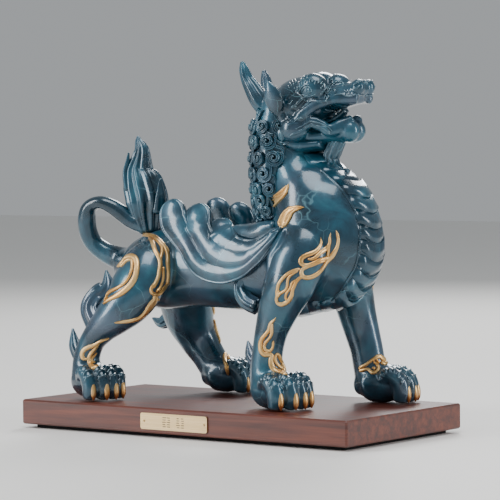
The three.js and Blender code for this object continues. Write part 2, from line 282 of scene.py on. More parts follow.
class Wax:
    """The skin of a melted form as arrays, to be smoothed and carved."""

    NORMALS_EVERY = 8
    GROOVE_REACH, GROOVE_STEEPNESS = 2.2, 1.4

    def __init__(self, mesh):
        self.mesh = mesh
        count = len(mesh.vertices)
        self.co = np.empty(count * 3)
        mesh.vertices.foreach_get("co", self.co)
        self.co = self.co.reshape(-1, 3)
        pairs = np.empty(len(mesh.edges) * 2, np.int32)
        mesh.edges.foreach_get("vertices", pairs)
        self.a, self.b = pairs.reshape(-1, 2).T
        self.degree = np.maximum(np.bincount(pairs, minlength=count), 1)[:, None]
        self.normals()

    def normals(self):
        self.mesh.vertices.foreach_set("co", self.co.ravel())
        self.mesh.update()
        self.n = np.empty(len(self.co) * 3)
        self.mesh.vertex_normals.foreach_get("vector", self.n)
        self.n = self.n.reshape(-1, 3)
        return self.n

    def mean(self, values):
        """The mean of each vertex's neighbours."""
        columns = [np.bincount(self.a, v[self.b], len(v)) + np.bincount(self.b, v[self.a], len(v))
                   for v in values.T]
        return np.stack(columns, 1) / self.degree

    def relax(self, rounds, share=0.5):
        for _ in range(rounds):
            self.co += share * (self.mean(self.co) - self.co)
        self.normals()

    def fill_creases(self, rounds, shares):
        """Only hollows rise, so that limbs run into the trunk without a crease."""
        for k in range(rounds):
            if k % self.NORMALS_EVERY == 0:
                self.normals()
            hollow = np.einsum("ij,ij->i", self.mean(self.co) - self.co, self.n)
            self.co += self.n * (np.maximum(hollow, 0) * shares)[:, None]
        self.normals()

    def near(self, line, reach):
        """The vertices within reach of a line of points, and their distances to it."""
        line = np.asarray(line, float)
        low, high = line.min(0) - reach, line.max(0) + reach
        found = np.flatnonzero(((self.co > low) & (self.co < high)).all(1))
        if not len(found):
            return found, np.empty(0)
        best = np.full(len(found), np.inf)
        for start, end in zip(line, line[1:]):
            step = end - start
            share = np.clip((self.co[found] - start) @ step / max(step @ step, NO_LENGTH), 0, 1)
            gap = self.co[found] - start - share[:, None] * step
            best = np.minimum(best, np.einsum("ij,ij->i", gap, gap))
        best = np.sqrt(best)
        close = best < reach
        return found[close], best[close]

    def carve(self, lines, width, depth):
        """Cuts grooves along lines, or raises ridges where the depth is negative."""
        move = np.zeros(len(self.co))
        for line in lines:
            found, gap = self.near(line, width * self.GROOVE_REACH)
            cut = depth * np.exp(-(gap / width) ** 2 * self.GROOVE_STEEPNESS)
            keep = np.abs(cut) > np.abs(move[found])
            move[found[keep]] = cut[keep]
        self.co -= self.n * move[:, None]
        self.normals()


def eye_ray(pixel):
    """The camera's place and the way to a pixel of the picture, in the beast's frame."""
    place = CAMERA_PLACE / MM - BEAST_PLACE
    away = camera_turn.to_3x3() @ Vector(((pixel[0] - PICTURE_SIDE / 2) / FOCAL_PIXELS,
                                          -(pixel[1] - PICTURE_SIDE / 2) / FOCAL_PIXELS, -1))
    return place, away.normalized()


FEWEST_STEPS = 4


def seen(skin, pixels, spacing=1.2):
    """The places where a smooth line through pixels of the picture lies on the skin."""
    line = smooth_line(pixels)
    length = sum(math.dist(a, b) for a, b in zip(pixels, pixels[1:]))
    count = max(FEWEST_STEPS, round(length / spacing))
    hits = [skin.ray_cast(*eye_ray(line(k / count))) for k in range(count + 1)]
    return np.array([np.array(where) for hit, where, _, _ in hits if hit])


BREAST_FROM, BREAST_FADE = np.array((70, 120)), np.array((20, 30))
CREASE_ROUNDS, CREASE_SHARE = 50, 0.9
LIMB_ROUNDS, TOE_ROUNDS = 12, 3
body = []
for stations in (TRUNK, BREAST):
    limb(body, stations, section=oval(64))
limb(body, [(*place, BAND_HALF, BAND_THICK) for place in PLATE_BAND], section=oval(32))
for stations in (NEAR_FRONT_LEG, FAR_FRONT_LEG, NEAR_HIND_LEG, FAR_HIND_LEG):
    limb(body, stations, section=oval(40))
limb(body, TAIL)
for paw in PAWS:
    limb(body, placed_paw(PAW_PAD, paw), paw_across(paw), point=PAD_POINT)
wax = Wax(melted(body, BODY_VOXEL))
breast = np.clip((wax.co[:, [0, 2]] - BREAST_FROM) / BREAST_FADE, 0, 1).prod(1)
wax.fill_creases(CREASE_ROUNDS, CREASE_SHARE * (1 - breast))
wax.relax(LIMB_ROUNDS)
body = [wax.mesh]
for paw in PAWS:
    for toe in range(TOES):
        limb(body, on_toe(TOE, toe, paw), paw_across(paw), step=1.5)
wax = Wax(melted(body, BODY_VOXEL))
wax.relax(TOE_ROUNDS)
wax.co[:, 2] = np.maximum(wax.co[:, 2], 0.0)
wax.normals()
body_skin = linked("body_skin", wax.mesh)
JUST_IN, NARROW, SHARP = 0.02, 0.1, 0.06
DEPTH_JUMP = 7
LOW_WHEN_THIN = 0.35


def rounded(points, widths):
    """Half widths that close in a round at both ends of a line."""
    gone = np.concatenate([[0], np.cumsum(np.linalg.norm(np.diff(points, axis=0), axis=1))])
    for way in (gone, gone[-1] - gone):
        share = np.clip((way + JUST_IN) / np.maximum(widths, NARROW), 0, 1)
        widths = widths * np.sqrt(1 - (1 - share) ** 2)
    return np.maximum(widths, SHARP)


def traced(skin, pixels, spacing=0.9):
    """A line laid on the skin as the picture shows it: places, ways out of the skin, half widths in mm."""
    line = smooth_line(pixels)
    length = sum(math.dist(a[:2], b[:2]) for a, b in zip(pixels, pixels[1:]))
    count = max(FEWEST_STEPS, round(length / spacing))
    places, normals, widths = [], [], []
    far = None
    for k in range(count + 1):
        x, y, half = line(k / count)
        place, away = eye_ray((x, y))
        hit, where, normal, _ = skin.ray_cast(place, away)
        depth = (where - place).length if hit else 0
        if not hit or (far is not None and abs(depth - far) > DEPTH_JUMP):
            continue
        far = depth
        places.append(np.array(where))
        normals.append(np.array(normal))
        widths.append(half * depth / FOCAL_PIXELS)
    return even(np.array(places), np.array(normals), np.array(widths))


def even(places, normals, widths, rounds=3):
    """The same line with its small steps smoothed away."""
    for values in (places, normals):
        for _ in range(rounds):
            values[1:-1] = 0.5 * values[1:-1] + 0.25 * (values[:-2] + values[2:])
    return places, normals, widths


def strip(parts, places, normals, widths, high, section):
    """A raised band along a line on a skin. The section's a runs across it and its b out of the skin."""
    along = np.gradient(places, axis=0)
    widths = rounded(places, widths)
    frames = []
    for place, way, normal, wide in zip(places, along, normals, widths):
        across = np.cross(normal, way)
        across /= np.linalg.norm(across) + NO_LENGTH
        up = np.cross(way, across)
        up /= np.linalg.norm(up) + NO_LENGTH
        rise = high * min(1, LOW_WHEN_THIN + wide)
        frames.append(laid(place, across * wide, up * rise, way / np.linalg.norm(way)))
    sweep(parts, frames, section)


def settled(skin, places):
    """The places of the skin nearest to these ones, and the ways out of it."""
    found = [skin.closest_point_on_mesh(Vector(place)) for place in places]
    places = np.array([np.array(where) for _, where, _, _ in found])
    return places, np.array([np.array(way) for _, _, way, _ in found])


def outline(half):
    """A section that is the same on its left and right, from the half with a from 0 to 1."""
    left = [(-a, b) for a, b in reversed(half)]
    return left + [(a, b) for a, b in half if a > 0]


MIRROR = np.array([1, -1, 1])
ROUND_TOP = outline([(0.25, 1), (0.62, 0.86), (0.88, 0.55), (1, 0.1), (1, -0.7)])
TWO_LOCKS = outline([(0, 0.4), (0.2, 0.75), (0.55, 0.95), (0.88, 0.6), (1, 0.15), (1, -0.7)])
THREE_LOCKS = outline([(0, 1), (0.24, 0.7), (0.33, 0.4), (0.42, 0.55), (0.68, 0.7), (0.88, 0.5), (1, 0.1),
                       (1, -0.7)])


def linear(code):
    """The linear colour of an sRGB hex code."""
    values = [int(code[k:k + 2], 16) / 255 for k in (1, 3, 5)]
    return (*(v / 12.92 if v <= 0.04045 else ((v + 0.055) / 1.055) ** 2.4 for v in values), 1)


def feed(tree, made, inputs):
    """Sets a node's inputs to values, or links them to the outputs of other nodes."""
    for name, value in inputs.items():
        if isinstance(value, bpy.types.NodeSocket):
            tree.links.new(value, made.inputs[name])
        else:
            made.inputs[name].default_value = value


def node(tree, kind, settings, inputs, output=0, stops=()):
    """Adds a node with its settings, its inputs and the stops of a ramp, and gives one of its outputs."""
    made = tree.nodes.new(kind)
    for name, value in settings.items():
        setattr(made, name, value)
    feed(tree, made, inputs)
    while stops and len(made.color_ramp.elements) < len(stops):
        made.color_ramp.elements.new(0.5)
    for mark, (place, code) in zip(made.color_ramp.elements if stops else (), stops):
        mark.position = place
        mark.color = linear(code)
    return made.outputs[output]


def surface(name):
    """A new material's nodes, its shader, and the place on the object."""
    material = bpy.data.materials.new(name)
    material.use_nodes = True
    tree = material.node_tree
    return material, tree, tree.nodes["Principled BSDF"], node(tree, "ShaderNodeTexCoord", {}, {}, "Object")


# Cast copper alloy, patinated teal with paler veins and lilac clouds, and lacquered: deep colour under a
# clear gloss. Its raised edges are paler, partly rubbed back and partly painted highlight, and its hollows
# are darkened with painted shade. The clouds are about 42 mm across, the haze 67 mm, the net of veins
# 37 mm and the patches where it shows 53 mm; the casting's skin has a grain of about 3 mm.
CLOUDS, HAZES, SWAYS, VEINS, PATCHES, GRAINS = 24.0, 15.0, 30.0, 27.0, 19.0, 320.0
TEALS = ((0.28, "#0d2733"), (0.45, "#163d4f"), (0.58, "#1e5266"), (0.75, "#296a7c"))
HAZE_SHIFT, VEIN_SWAY = (0.37, 0.11, 0.53), (0.022, 0.022, 0.022)
MIX, SHARE, UNDER, OVER, MIXED = {"data_type": "RGBA"}, 0, 6, 7, 2
TIMES, SCALED = {"operation": "MULTIPLY"}, {"operation": "MULTIPLY_ADD"}
CLAMPED = {"operation": "MULTIPLY_ADD", "use_clamp": True}
patina, tree, shader, place = surface("patinated_bronze_lacquered")
cloud = node(tree, "ShaderNodeTexNoise", {}, {"Vector": place, "Scale": CLOUDS, "Detail": 5.0,
                                              "Roughness": 0.6, "Distortion": 0.6})
colour = node(tree, "ShaderNodeValToRGB", {}, {"Fac": cloud}, stops=TEALS)
aside = node(tree, "ShaderNodeMapping", {}, {"Vector": place, "Location": HAZE_SHIFT})
haze = node(tree, "ShaderNodeTexNoise", {}, {"Vector": aside, "Scale": HAZES, "Detail": 3.0, "Roughness": 0.5,
                                             "Distortion": 1.2})
haze = node(tree, "ShaderNodeMath", CLAMPED, {0: haze, 1: 4.2, 2: -2.15})
sway = node(tree, "ShaderNodeTexNoise", {}, {"Vector": place, "Scale": SWAYS, "Detail": 3.0}, "Color")
bent = node(tree, "ShaderNodeVectorMath", SCALED, {0: sway, 1: VEIN_SWAY, 2: place})
vein = node(tree, "ShaderNodeTexVoronoi", {"feature": "DISTANCE_TO_EDGE"}, {"Vector": bent, "Scale": VEINS},
            "Distance")
vein = node(tree, "ShaderNodeMath", CLAMPED, {0: vein, 1: -85.0, 2: 1.0})
seldom = node(tree, "ShaderNodeTexNoise", {}, {"Vector": place, "Scale": PATCHES, "Detail": 1.0})
seldom = node(tree, "ShaderNodeMath", CLAMPED, {0: seldom, 1: 5.0, 2: -2.3})
vein = node(tree, "ShaderNodeMath", TIMES, {0: vein, 1: seldom})
relief = node(tree, "ShaderNodeAttribute", {"attribute_name": "relief"}, {}, "Fac")
# Paler on raised edges: partly rubbed-back wear, partly painted highlight.
worn_and_highlit = node(tree, "ShaderNodeMath", CLAMPED, {0: relief, 1: 1.5, 2: -0.12})
# Painted shade: the hollows darken almost to black.
hollow = node(tree, "ShaderNodeMath", CLAMPED, {0: relief, 1: -1.8, 2: -0.05})
for share, most, code in ((haze, 0.5, "#5d6a80"), (vein, 0.4, "#7fb4c0"), (worn_and_highlit, 0.6, "#a9cdd8"),
                          (hollow, 0.9, "#06131b")):
    share = node(tree, "ShaderNodeMath", TIMES, {0: share, 1: most})
    colour = node(tree, "ShaderNodeMix", MIX, {SHARE: share, UNDER: colour, OVER: linear(code)}, MIXED)
skin = node(tree, "ShaderNodeTexNoise", {}, {"Vector": place, "Scale": GRAINS, "Detail": 3.0})
skin = node(tree, "ShaderNodeBump", {}, {"Height": skin, "Strength": 0.12, "Distance": 0.0008})
rough = node(tree, "ShaderNodeMath", SCALED, {0: cloud, 1: 0.3, 2: 0.15})
feed(tree, shader, {"Base Color": colour, "Normal": skin, "Roughness": rough, "Metallic": 0.35,
                    "Coat Weight": 0.7, "Coat Roughness": 0.1})
SHORTEST_SPAN = 0.05
MOST_TRIANGLES = 196000


def relief_of(mesh, rounds=2, strength=1.0):
    """Stores each vertex's height above its surroundings, for painted highlight and wear on edges and painted
    shade in hollows.
    """
    wax = Wax(mesh)
    lengths = np.linalg.norm(wax.co[wax.a] - wax.co[wax.b], axis=1)
    count = len(wax.co)
    span = (np.bincount(wax.a, lengths, count) + np.bincount(wax.b, lengths, count)) / wax.degree[:, 0]
    bend = np.einsum("ij,ij->i", wax.co - wax.mean(wax.co), wax.n) / np.maximum(span, SHORTEST_SPAN) ** 2
    bend = np.clip(bend * strength, -1, 1)[:, None]
    for _ in range(rounds):
        bend = 0.5 * bend + 0.5 * wax.mean(bend)
    mesh.attributes.new("relief", "FLOAT", "POINT").data.foreach_set("value", bend[:, 0].astype(np.float32))


def thinned(mesh, most=MOST_TRIANGLES):
    """The same shape with at most so many triangles, fewest where it is smooth."""
    corners = np.empty(len(mesh.polygons), np.int32)
    mesh.polygons.foreach_get("loop_total", corners)
    faces = int((corners - 2).sum())
    if faces <= most:
        return mesh
    dense = linked("dense", mesh)
    thin = dense.modifiers.new("thin", "DECIMATE")
    thin.ratio = most / faces
    result = bpy.data.meshes.new_from_object(dense.evaluated_get(bpy.context.evaluated_depsgraph_get()))
    bpy.data.objects.remove(dense)
    return result


def cast_piece(name, mesh, material=patina, rounds=2, strength=1.0):
    """A finished piece of the casting, set in its place on the plinth."""
    relief_of(mesh, rounds, strength)
    mesh.transform(Matrix.Scale(MM, 4) @ Matrix.Translation(BEAST_PLACE))
    mesh.polygons.foreach_set("use_smooth", np.ones(len(mesh.polygons), bool))
    mesh.materials.clear()
    mesh.materials.append(material)
    piece = linked(name, mesh)
    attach(piece, "root")
    return piece


# The line under the shoulder and the one before the haunch: pixels of the picture, width, depth.
CREASES = ((((285.0, 232.5), (277.5, 245.9), (270.8, 254.8), (266.5, 270.4), (263.5, 283.8), (260.2, 296.1)),
            4.0, 3.0),
           (((169.7, 243.2), (172.1, 261.4), (172.1, 277.1), (168.5, 290.4), (163.0, 302.5)), 4.0, 1.3))
# Rows of knuckle folds across each toe: how far behind its reach, and height.
FOLDS = ((24, 30), (20, 33), (16, 34), (12, 33), (8, 29), (5, 24))
FOLD_TURN, FOLD_DEEP, FOLD_HALF, FOLD_DROP, FOLD_POINTS = 1.2, 1.5, 5.5, 4, 7
FOLD_WIDTH, FOLD_HIGH = 1.15, 1.3
wax = Wax(body_skin.data)
for line, width, depth in CREASES:
    wax.carve([seen(body_skin, line)], width, depth)
folds = []
for paw in PAWS:
    for toe in range(TOES):
        reach, side = toe_reach(toe, paw)
        for back, up in FOLDS:
            bow = [(reach - back - FOLD_DEEP * math.cos(k), side + FOLD_HALF * math.sin(k),
                    up - FOLD_DROP * (1 - math.cos(k)), 1, 1)
                   for k in np.linspace(-FOLD_TURN, FOLD_TURN, FOLD_POINTS)]
            folds.append(settled(body_skin, [s[:3] for s in placed_paw(bow, paw)])[0])
wax.carve(folds, FOLD_WIDTH, -FOLD_HIGH)
body_skin.data.update()
body_piece = cast_piece("body", thinned(body_skin.data.copy()), rounds=3, strength=1.6)
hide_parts("pixiu")

# The breast's plates
# Fifteen plates overlap down the breast like a belt of scales, each with a thick bowed lower lip. They
# are cast with the body, between two raised edges.
PLATES, FIRST_PLATE = 15, 0.35
PLATE_HALF, PLATE_LIP, PLATE_BOW, PLATE_EDGE = 9.0, 2.7, 8.5, 19.5
PLATE_STATIONS, SQUARE_END, END_LIP = 31, 14, 0.05
PLATE_SECTION = [(-1, -1.2), (1.0, -1.2), (1.04, 0.35), (1.0, 0.8), (0.86, 1.0), (0.62, 0.94), (0.1, 0.62),
                 (-1, 0.0)]
BAND_TOP, BAND_STEPS, OUTSIDE, MISSED = (99, 0, 243), 600, 25, 5
plates = []
band = smooth_line([BAND_TOP, *PLATE_BAND])
steps = [band(t) for t in np.linspace(0, 1, BAND_STEPS)]
run = np.concatenate([[0], np.cumsum([math.dist(a, b) for a, b in zip(steps, steps[1:])])])
steps = np.array(steps)


def on_band(way):
    """The band's middle at a length down the breast, the way down and the way out."""
    way = min(max(way, 1.0), run[-1] - 1.0)
    place, before, after = (np.array([np.interp(at, run, steps[:, k]) for k in range(3)])
                            for at in (way, way - 1, way + 1))
    down = (after - before) / np.linalg.norm(after - before)
    return place, down, np.cross(down, (0, -1, 0))


for k in range(PLATES):
    start = run[-1] * (k + FIRST_PLATE) / PLATES - PLATE_BOW * 0.5
    frames = []
    for y in np.linspace(-PLATE_EDGE, PLATE_EDGE, PLATE_STATIONS):
        share = y / PLATE_EDGE
        place, down, out = on_band(start + PLATE_BOW * (1 - share * share))
        lip = PLATE_LIP * max(END_LIP, 1 - abs(share) ** SQUARE_END)
        spot = place + np.array((0, y, 0))
        hit, where, _, _ = body_skin.ray_cast(Vector(spot + out * OUTSIDE), Vector(-out))
        centre = np.array(where) if hit else spot + out * MISSED
        frames.append(laid(centre, down * PLATE_HALF, out * lip, np.array((0, 1, 0))))
    sweep(plates, frames, PLATE_SECTION)
BAND_EDGE = ((319.9, 170.0, 1.2), (336.6, 184.5, 1.3), (346.7, 196.8, 1.3), (353.3, 207.9, 1.3),
             (357.8, 218.0, 1.3), (360.0, 232.5, 1.3), (359.5, 245.9, 1.3), (357.8, 257.1, 1.2),
             (354.5, 268.2, 1.2), (348.9, 277.1, 1.1), (341.1, 290.5, 1.0), (331.0, 301.0, 0.8))
BAND_EDGE_HIGH = 1.5
places, normals, widths = traced(body_skin, BAND_EDGE)
strip(plates, places, normals, widths, BAND_EDGE_HIGH, ROUND_TOP)
strip(plates, places * MIRROR, normals * MIRROR, widths, BAND_EDGE_HIGH, ROUND_TOP)
cast_piece("breast_plates", joined(plates), strength=0.6)

# The head
# Skull, muzzle, jaws and ears are cast with the body and chased more finely: grooves are cut in, and
# hairs, lids and lips stand up as ridges. The far side mirrors the near one.
HEAD_VOXEL = 0.85
# Round masses on the middle line: place, radii, turn in degrees. Then the pairs, on both sides.
MASSES = (((76, 0, 294), (36, 31, 29), (0, -12, 0)), ((142, 0, 310), (9, 12, 9), (0, 0, 0)),
          ((118, 0, 314), (12, 11, 10.5), (0, 20, 0)), ((97, 0, 315), (17, 18, 12), (0, 0, 0)))
PAIRED_MASSES = (((100, 19, 311), (17, 11, 14.5)), ((146, 8.5, 311), (7, 6.5, 8)),
                 ((80, 23, 272), (17, 12, 14)), ((71, 27, 284), (7, 6, 9)), ((69, 27, 268), (7, 6, 10)),
                 ((134, 5, 269), (10, 9, 11)))
JAWS_AND_TONGUE = (((84, 0, 300, 24, 19), (108, 0, 302, 21, 15), (128, 0, 304, 17.5, 12),
                    (141, 0, 306, 15, 11)),
                   ((70, 0, 266, 27, 16), (94, 0, 264, 22, 10), (116, 0, 266, 15, 9),
                    (133, 0, 270, 12.5, 13)),
                   ((92, 0, 279, 10, 5), (110, 0, 278, 10, 4), (120, 0, 283, 8, 3.5), (126, 0, 289, 5, 2.4)))
LIPS_AND_EAR = (((146, -11, 301, 4, 6), (136, -16, 301, 4, 6), (124, -19, 300, 4, 5.5),
                 (104, -24, 293, 4, 5.5), (92, -27, 285, 4, 6), (86, -28, 279, 3.5, 4)),
                ((78, -28, 268, 4, 7), (90, -26, 273, 4, 6), (101, -23, 278, 4, 6), (111, -19, 274, 4, 6),
                 (117, -17, 270, 4, 6), (127, -12, 274, 4, 7), (136, -5, 280, 5, 5)),
                ((66, -30, 287, 4.5, 6), (66, -34, 294, 5, 9.5), (65.5, -37, 302, 4, 10.5),
                 (64, -39, 310, 3, 7.5), (62, -40.5, 318, 1, 1.5)))
EYE, EYE_RADII = (103, 28.2, 308.8), (3.6, 2.6, 3.6)
HEAD_CREASE_ROUNDS, HEAD_CREASE_SHARE, HEAD_ROUNDS = 8, 0.8, 3
GROOVE_WIDTH, GROOVE_DEEP = 1.3, 1.1
HAIR_ROOT, HAIR_TIP, HAIR_HIGH, RIDGE_HIGH = 0.9, 0.3, 1.3, 1.2
head = []
for centre, radii, turn in MASSES:
    ball(head, centre, radii, turn)
for stations in JAWS_AND_TONGUE:
    limb(head, stations)
for side in (1, -1):
    for (x, y, z), radii in PAIRED_MASSES:
        ball(head, (x, side * y, z), radii)
    for stations in LIPS_AND_EAR:
        limb(head, [(x, side * y, z, a, b) for x, y, z, a, b in stations])
wax = Wax(melted(head, HEAD_VOXEL))
wax.fill_creases(HEAD_CREASE_ROUNDS, HEAD_CREASE_SHARE)
wax.relax(HEAD_ROUNDS)
head_skin = linked("head_skin", wax.mesh)
# The brow's hairs, from root to tip, in pixels of the picture.
BROW_HAIRS = (
    ((289.8, 88.5), (288.0, 85.1)), ((291.9, 86.8), (289.8, 82.5)), ((294.1, 85.1), (291.9, 79.9)),
    ((296.3, 83.3), (295.0, 78.6)), ((298.9, 82.0), (298.0, 77.3)), ((301.9, 80.7), (301.0, 75.8)),
    ((304.5, 79.9), (304.1, 75.3)), ((307.1, 79.0), (308.0, 75.1)), ((295.0, 89.4), (294.1, 85.1)),
    ((298.0, 90.3), (297.6, 86.4)), ((300.2, 87.7), (299.7, 83.3)), ((302.3, 85.1), (302.3, 81.2)),
    ((305.4, 83.3), (305.8, 79.9)), ((309.7, 82.5), (310.6, 78.1)), ((312.3, 82.0), (313.2, 77.7)),
    ((314.5, 84.6), (316.2, 79.9)), ((317.9, 83.3), (319.7, 79.4)), ((320.5, 84.2), (322.7, 81.2)),
    ((320.5, 88.5), (323.1, 85.1)),
)
FACE_RIDGES = (
    ((298.9, 94.2, 0.3), (300.2, 90.3, 0.8), (302.3, 86.8, 0.9), (305.4, 85.1, 0.9), (308.8, 85.1, 0.4)),
    ((301.9, 92.5, 0.3), (303.2, 89.2, 0.8), (305.8, 87.0, 0.9), (308.8, 87.0, 0.9), (311.0, 89.0, 0.7),
     (311.7, 91.6, 0.3)),
    ((301.0, 94.2, 0.3), (304.5, 94.8, 0.9), (308.0, 96.1, 1.0), (311.9, 95.7, 0.9), (315.3, 93.8, 0.3)),
    ((291.9, 106.3, 0.4), (295.8, 105.0, 1.2), (298.9, 102.0, 1.7), (301.9, 99.0, 1.7), (305.4, 96.6, 1.2),
     (308.8, 95.5, 0.3)),
    ((291.1, 106.8, 0.3), (294.1, 107.0, 1.1), (297.1, 106.3, 0.4)),
    ((321.8, 93.8, 0.3), (324.4, 90.3, 0.8), (326.2, 86.8, 0.3)),
    ((324.4, 99.0, 0.3), (326.2, 94.2, 0.8), (328.3, 90.3, 0.3)),
    ((327.0, 93.8, 0.3), (328.8, 96.4, 0.8), (327.0, 99.0, 0.3)),
    ((302.8, 108.1, 0.4), (305.8, 105.0, 1.1), (308.0, 103.5, 1.1), (310.6, 101.1, 1.1),
     (314.0, 100.3, 1.2), (317.9, 101.3, 1.2), (322.7, 101.8, 1.2), (327.0, 100.7, 1.1)),
    ((294.5, 121.5, 0.3), (297.6, 119.1, 1.3), (300.2, 118.0, 1.3), (302.8, 117.8, 0.4)),
    ((288.0, 103.7, 0.3), (290.2, 103.8, 0.7), (291.9, 102.2, 0.7), (292.4, 100.3, 0.3)),
    ((320.3, 94.3, 0.3), (323.0, 90.9, 0.8), (325.7, 88.2, 0.8), (327.6, 85.9, 0.3)),
    ((324.9, 92.8, 0.3), (327.6, 88.6, 0.8), (330.2, 85.1, 0.9), (333.3, 82.5, 0.4)),
    ((328.7, 92.4, 0.3), (329.9, 89.0, 0.8), (332.2, 85.9, 0.9), (334.8, 83.6, 0.4)),
    ((337.9, 82.3, 0.8), (339.6, 81.2, 0.7)),
    ((340.2, 82.5, 0.8), (342.3, 81.0, 0.7)),
    ((342.1, 84.2, 0.8), (344.4, 82.8, 0.7)),
    ((342.5, 86.3, 0.8), (345.0, 84.9, 0.7)),
    ((330.6, 80.7, 0.8), (333.1, 79.5, 0.7)),
    ((328.3, 79.6, 0.8), (329.5, 77.9, 0.7)),
    ((335.2, 82.8, 0.7), (336.8, 81.7, 0.7)),
    ((352.1, 82.8, 0.3), (354.4, 79.8, 1.0), (358.6, 78.2, 1.1), (362.8, 78.8, 1.1), (365.3, 81.3, 0.9),
     (365.6, 84.4, 0.3)),
    ((353.2, 86.3, 0.3), (356.3, 83.0, 1.0), (359.3, 81.1, 1.0), (362.6, 81.1, 0.9), (364.3, 83.2, 0.3)),
    ((351.3, 88.6, 0.3), (354.7, 88.7, 1.0), (357.8, 87.1, 1.0), (359.9, 85.1, 0.4)),
    ((334.1, 95.3, 0.3), (337.9, 94.4, 0.8), (342.5, 94.4, 0.9), (346.3, 95.9, 1.0), (349.4, 96.3, 1.0),
     (352.4, 95.5, 0.9), (356.3, 94.4, 0.9), (360.1, 94.4, 0.9), (363.9, 94.8, 0.5)),
    ((325.3, 109.2, 0.3), (328.3, 110.4, 0.7), (331.4, 110.6, 0.8), (334.5, 110.9, 0.8),
     (336.4, 112.2, 0.7), (339.4, 112.5, 0.5), (342.9, 112.7, 0.3)),
    ((288.5, 136.8, 0.4), (292.5, 134.4, 1.3), (297.9, 132.4, 1.6), (303.2, 129.7, 1.7),
     (307.9, 126.7, 1.9), (311.6, 125.0, 1.9), (315.3, 126.4, 1.9), (319.3, 127.4, 1.9),
     (324.0, 127.5, 1.9), (327.3, 130.1, 1.7), (329.7, 133.7, 0.8)),
    ((295.8, 129.0, 0.4), (303.2, 125.4, 0.8), (310.2, 121.5, 0.9), (315.3, 122.2, 0.9),
     (322.0, 124.2, 0.9), (327.3, 126.7, 0.8), (332.0, 130.7, 0.4)),
)
FACE_GROOVES = (
    ((284.5, 112.8), (286.1, 117.2), (288.9, 121.9)),
    ((286.3, 99.0), (288.0, 96.4), (291.5, 93.8), (295.0, 92.0)),
    ((292.4, 109.4), (296.7, 110.2), (300.2, 107.6), (303.6, 104.2), (308.0, 99.4), (311.9, 98.1),
     (318.4, 99.0), (324.9, 98.1)),
    ((330.6, 90.5), (334.1, 90.5), (336.0, 92.8)),
    ((346.3, 90.5), (346.7, 92.8), (346.5, 94.7)),
    ((348.6, 90.9), (349.0, 92.8), (348.8, 95.1)),
)
wax = Wax(head_skin.data.copy())
grooves = [seen(head_skin, line) for line in FACE_GROOVES]
wax.carve(grooves + [line * MIRROR for line in grooves], GROOVE_WIDTH, GROOVE_DEEP)
head = [wax.mesh]
hairs = [((*root, HAIR_ROOT), (*tip, HAIR_TIP)) for root, tip in BROW_HAIRS]
for lines, high in ((hairs, HAIR_HIGH), (FACE_RIDGES, RIDGE_HIGH)):
    for pixels in lines:
        places, normals, widths = traced(head_skin, pixels, 0.6)
        for mirror in (1, MIRROR):
            strip(head, places * mirror, normals * mirror, widths, high, ROUND_TOP)
for side in (1, -1):
    ball(head, (EYE[0], side * EYE[1], EYE[2]), EYE_RADII, subdivisions=3)
cast_piece("head", thinned(joined(head)))

# Horns
# Two tapered horns cast with the head, fluted along their length. The far one sits a little lower, as
# the picture shows.
HORN = ((44, -14, 289, 9, 10), (35, -17, 300, 9, 10), (27, -17, 311, 8, 8.5), (20, -17, 321, 6, 6.5),
        (16.5, -18, 331, 4.3, 5), (14.5, -18, 338, 2, 2.2))
FAR_HORN_LOWER, HORN_FLUTES, HORN_FLUTING = 8, 8, 0.06
horns = []
for side, lower in ((1, 0), (-1, FAR_HORN_LOWER)):
    limb(horns, [(x, side * y, z - lower, a, b) for x, y, z, a, b in HORN], step=1.5,
         section=oval(64, HORN_FLUTES, HORN_FLUTING))
cast_piece("horns", joined(horns), strength=0.5)

# The mane
# Snail curls in staggered rows over a core of hair, each a lock of two strands that winds inwards to a
# raised middle. They are cast with the neck.
MANE = ((56, 0, 298, 28, 26), (53, 0, 270, 33, 30), (53, 0, 242, 34, 31), (53, 0, 214, 33, 30),
        (52, 0, 192, 27, 28), (54, 0, 172, 18, 22))
MANE_VOXEL = 1.6
# A curl in parts of its radius: the lock that leads into it, then its turns.
CURL_LEAD = ((0.35, 2.7, 0.3), (1.05, 1.9, 0.5), (1.3, 1.0, 0.6))
CURL_TURNS, CURL_STEPS, CURL_START, CURL_CLOSING, CURL_LOW, CURL_CLIMB = 1.7, 14, 1.16, 0.8, 0.6, 1.5
CURL_LIFT, CURL_STRAND, CURL_HIGH, CURL_BEAD = 0.3, 0.27, 2.4, 0.2
CURL_FULLNESS = ((0, 0.2, 0.7, 1), (0.5, 1.15, 1, 0.75))
CURL_RADIUS, CURL_VARIES = 6.6, 0.6
MANE_ROWS, CURLS_IN_ROW, MANE_FROM, MANE_SPAN, MANE_OUTSIDE = 8, 8, 0.16, 0.8, 40
# How far round towards the front the top row reaches, and how much less each row below does, in degrees.
MANE_FRONT, MANE_RECEDES, MANE_SPARE = 118, 5, 4
mane = []
limb(mane, MANE)
mane_skin = linked("mane_skin", melted(mane, MANE_VOXEL))


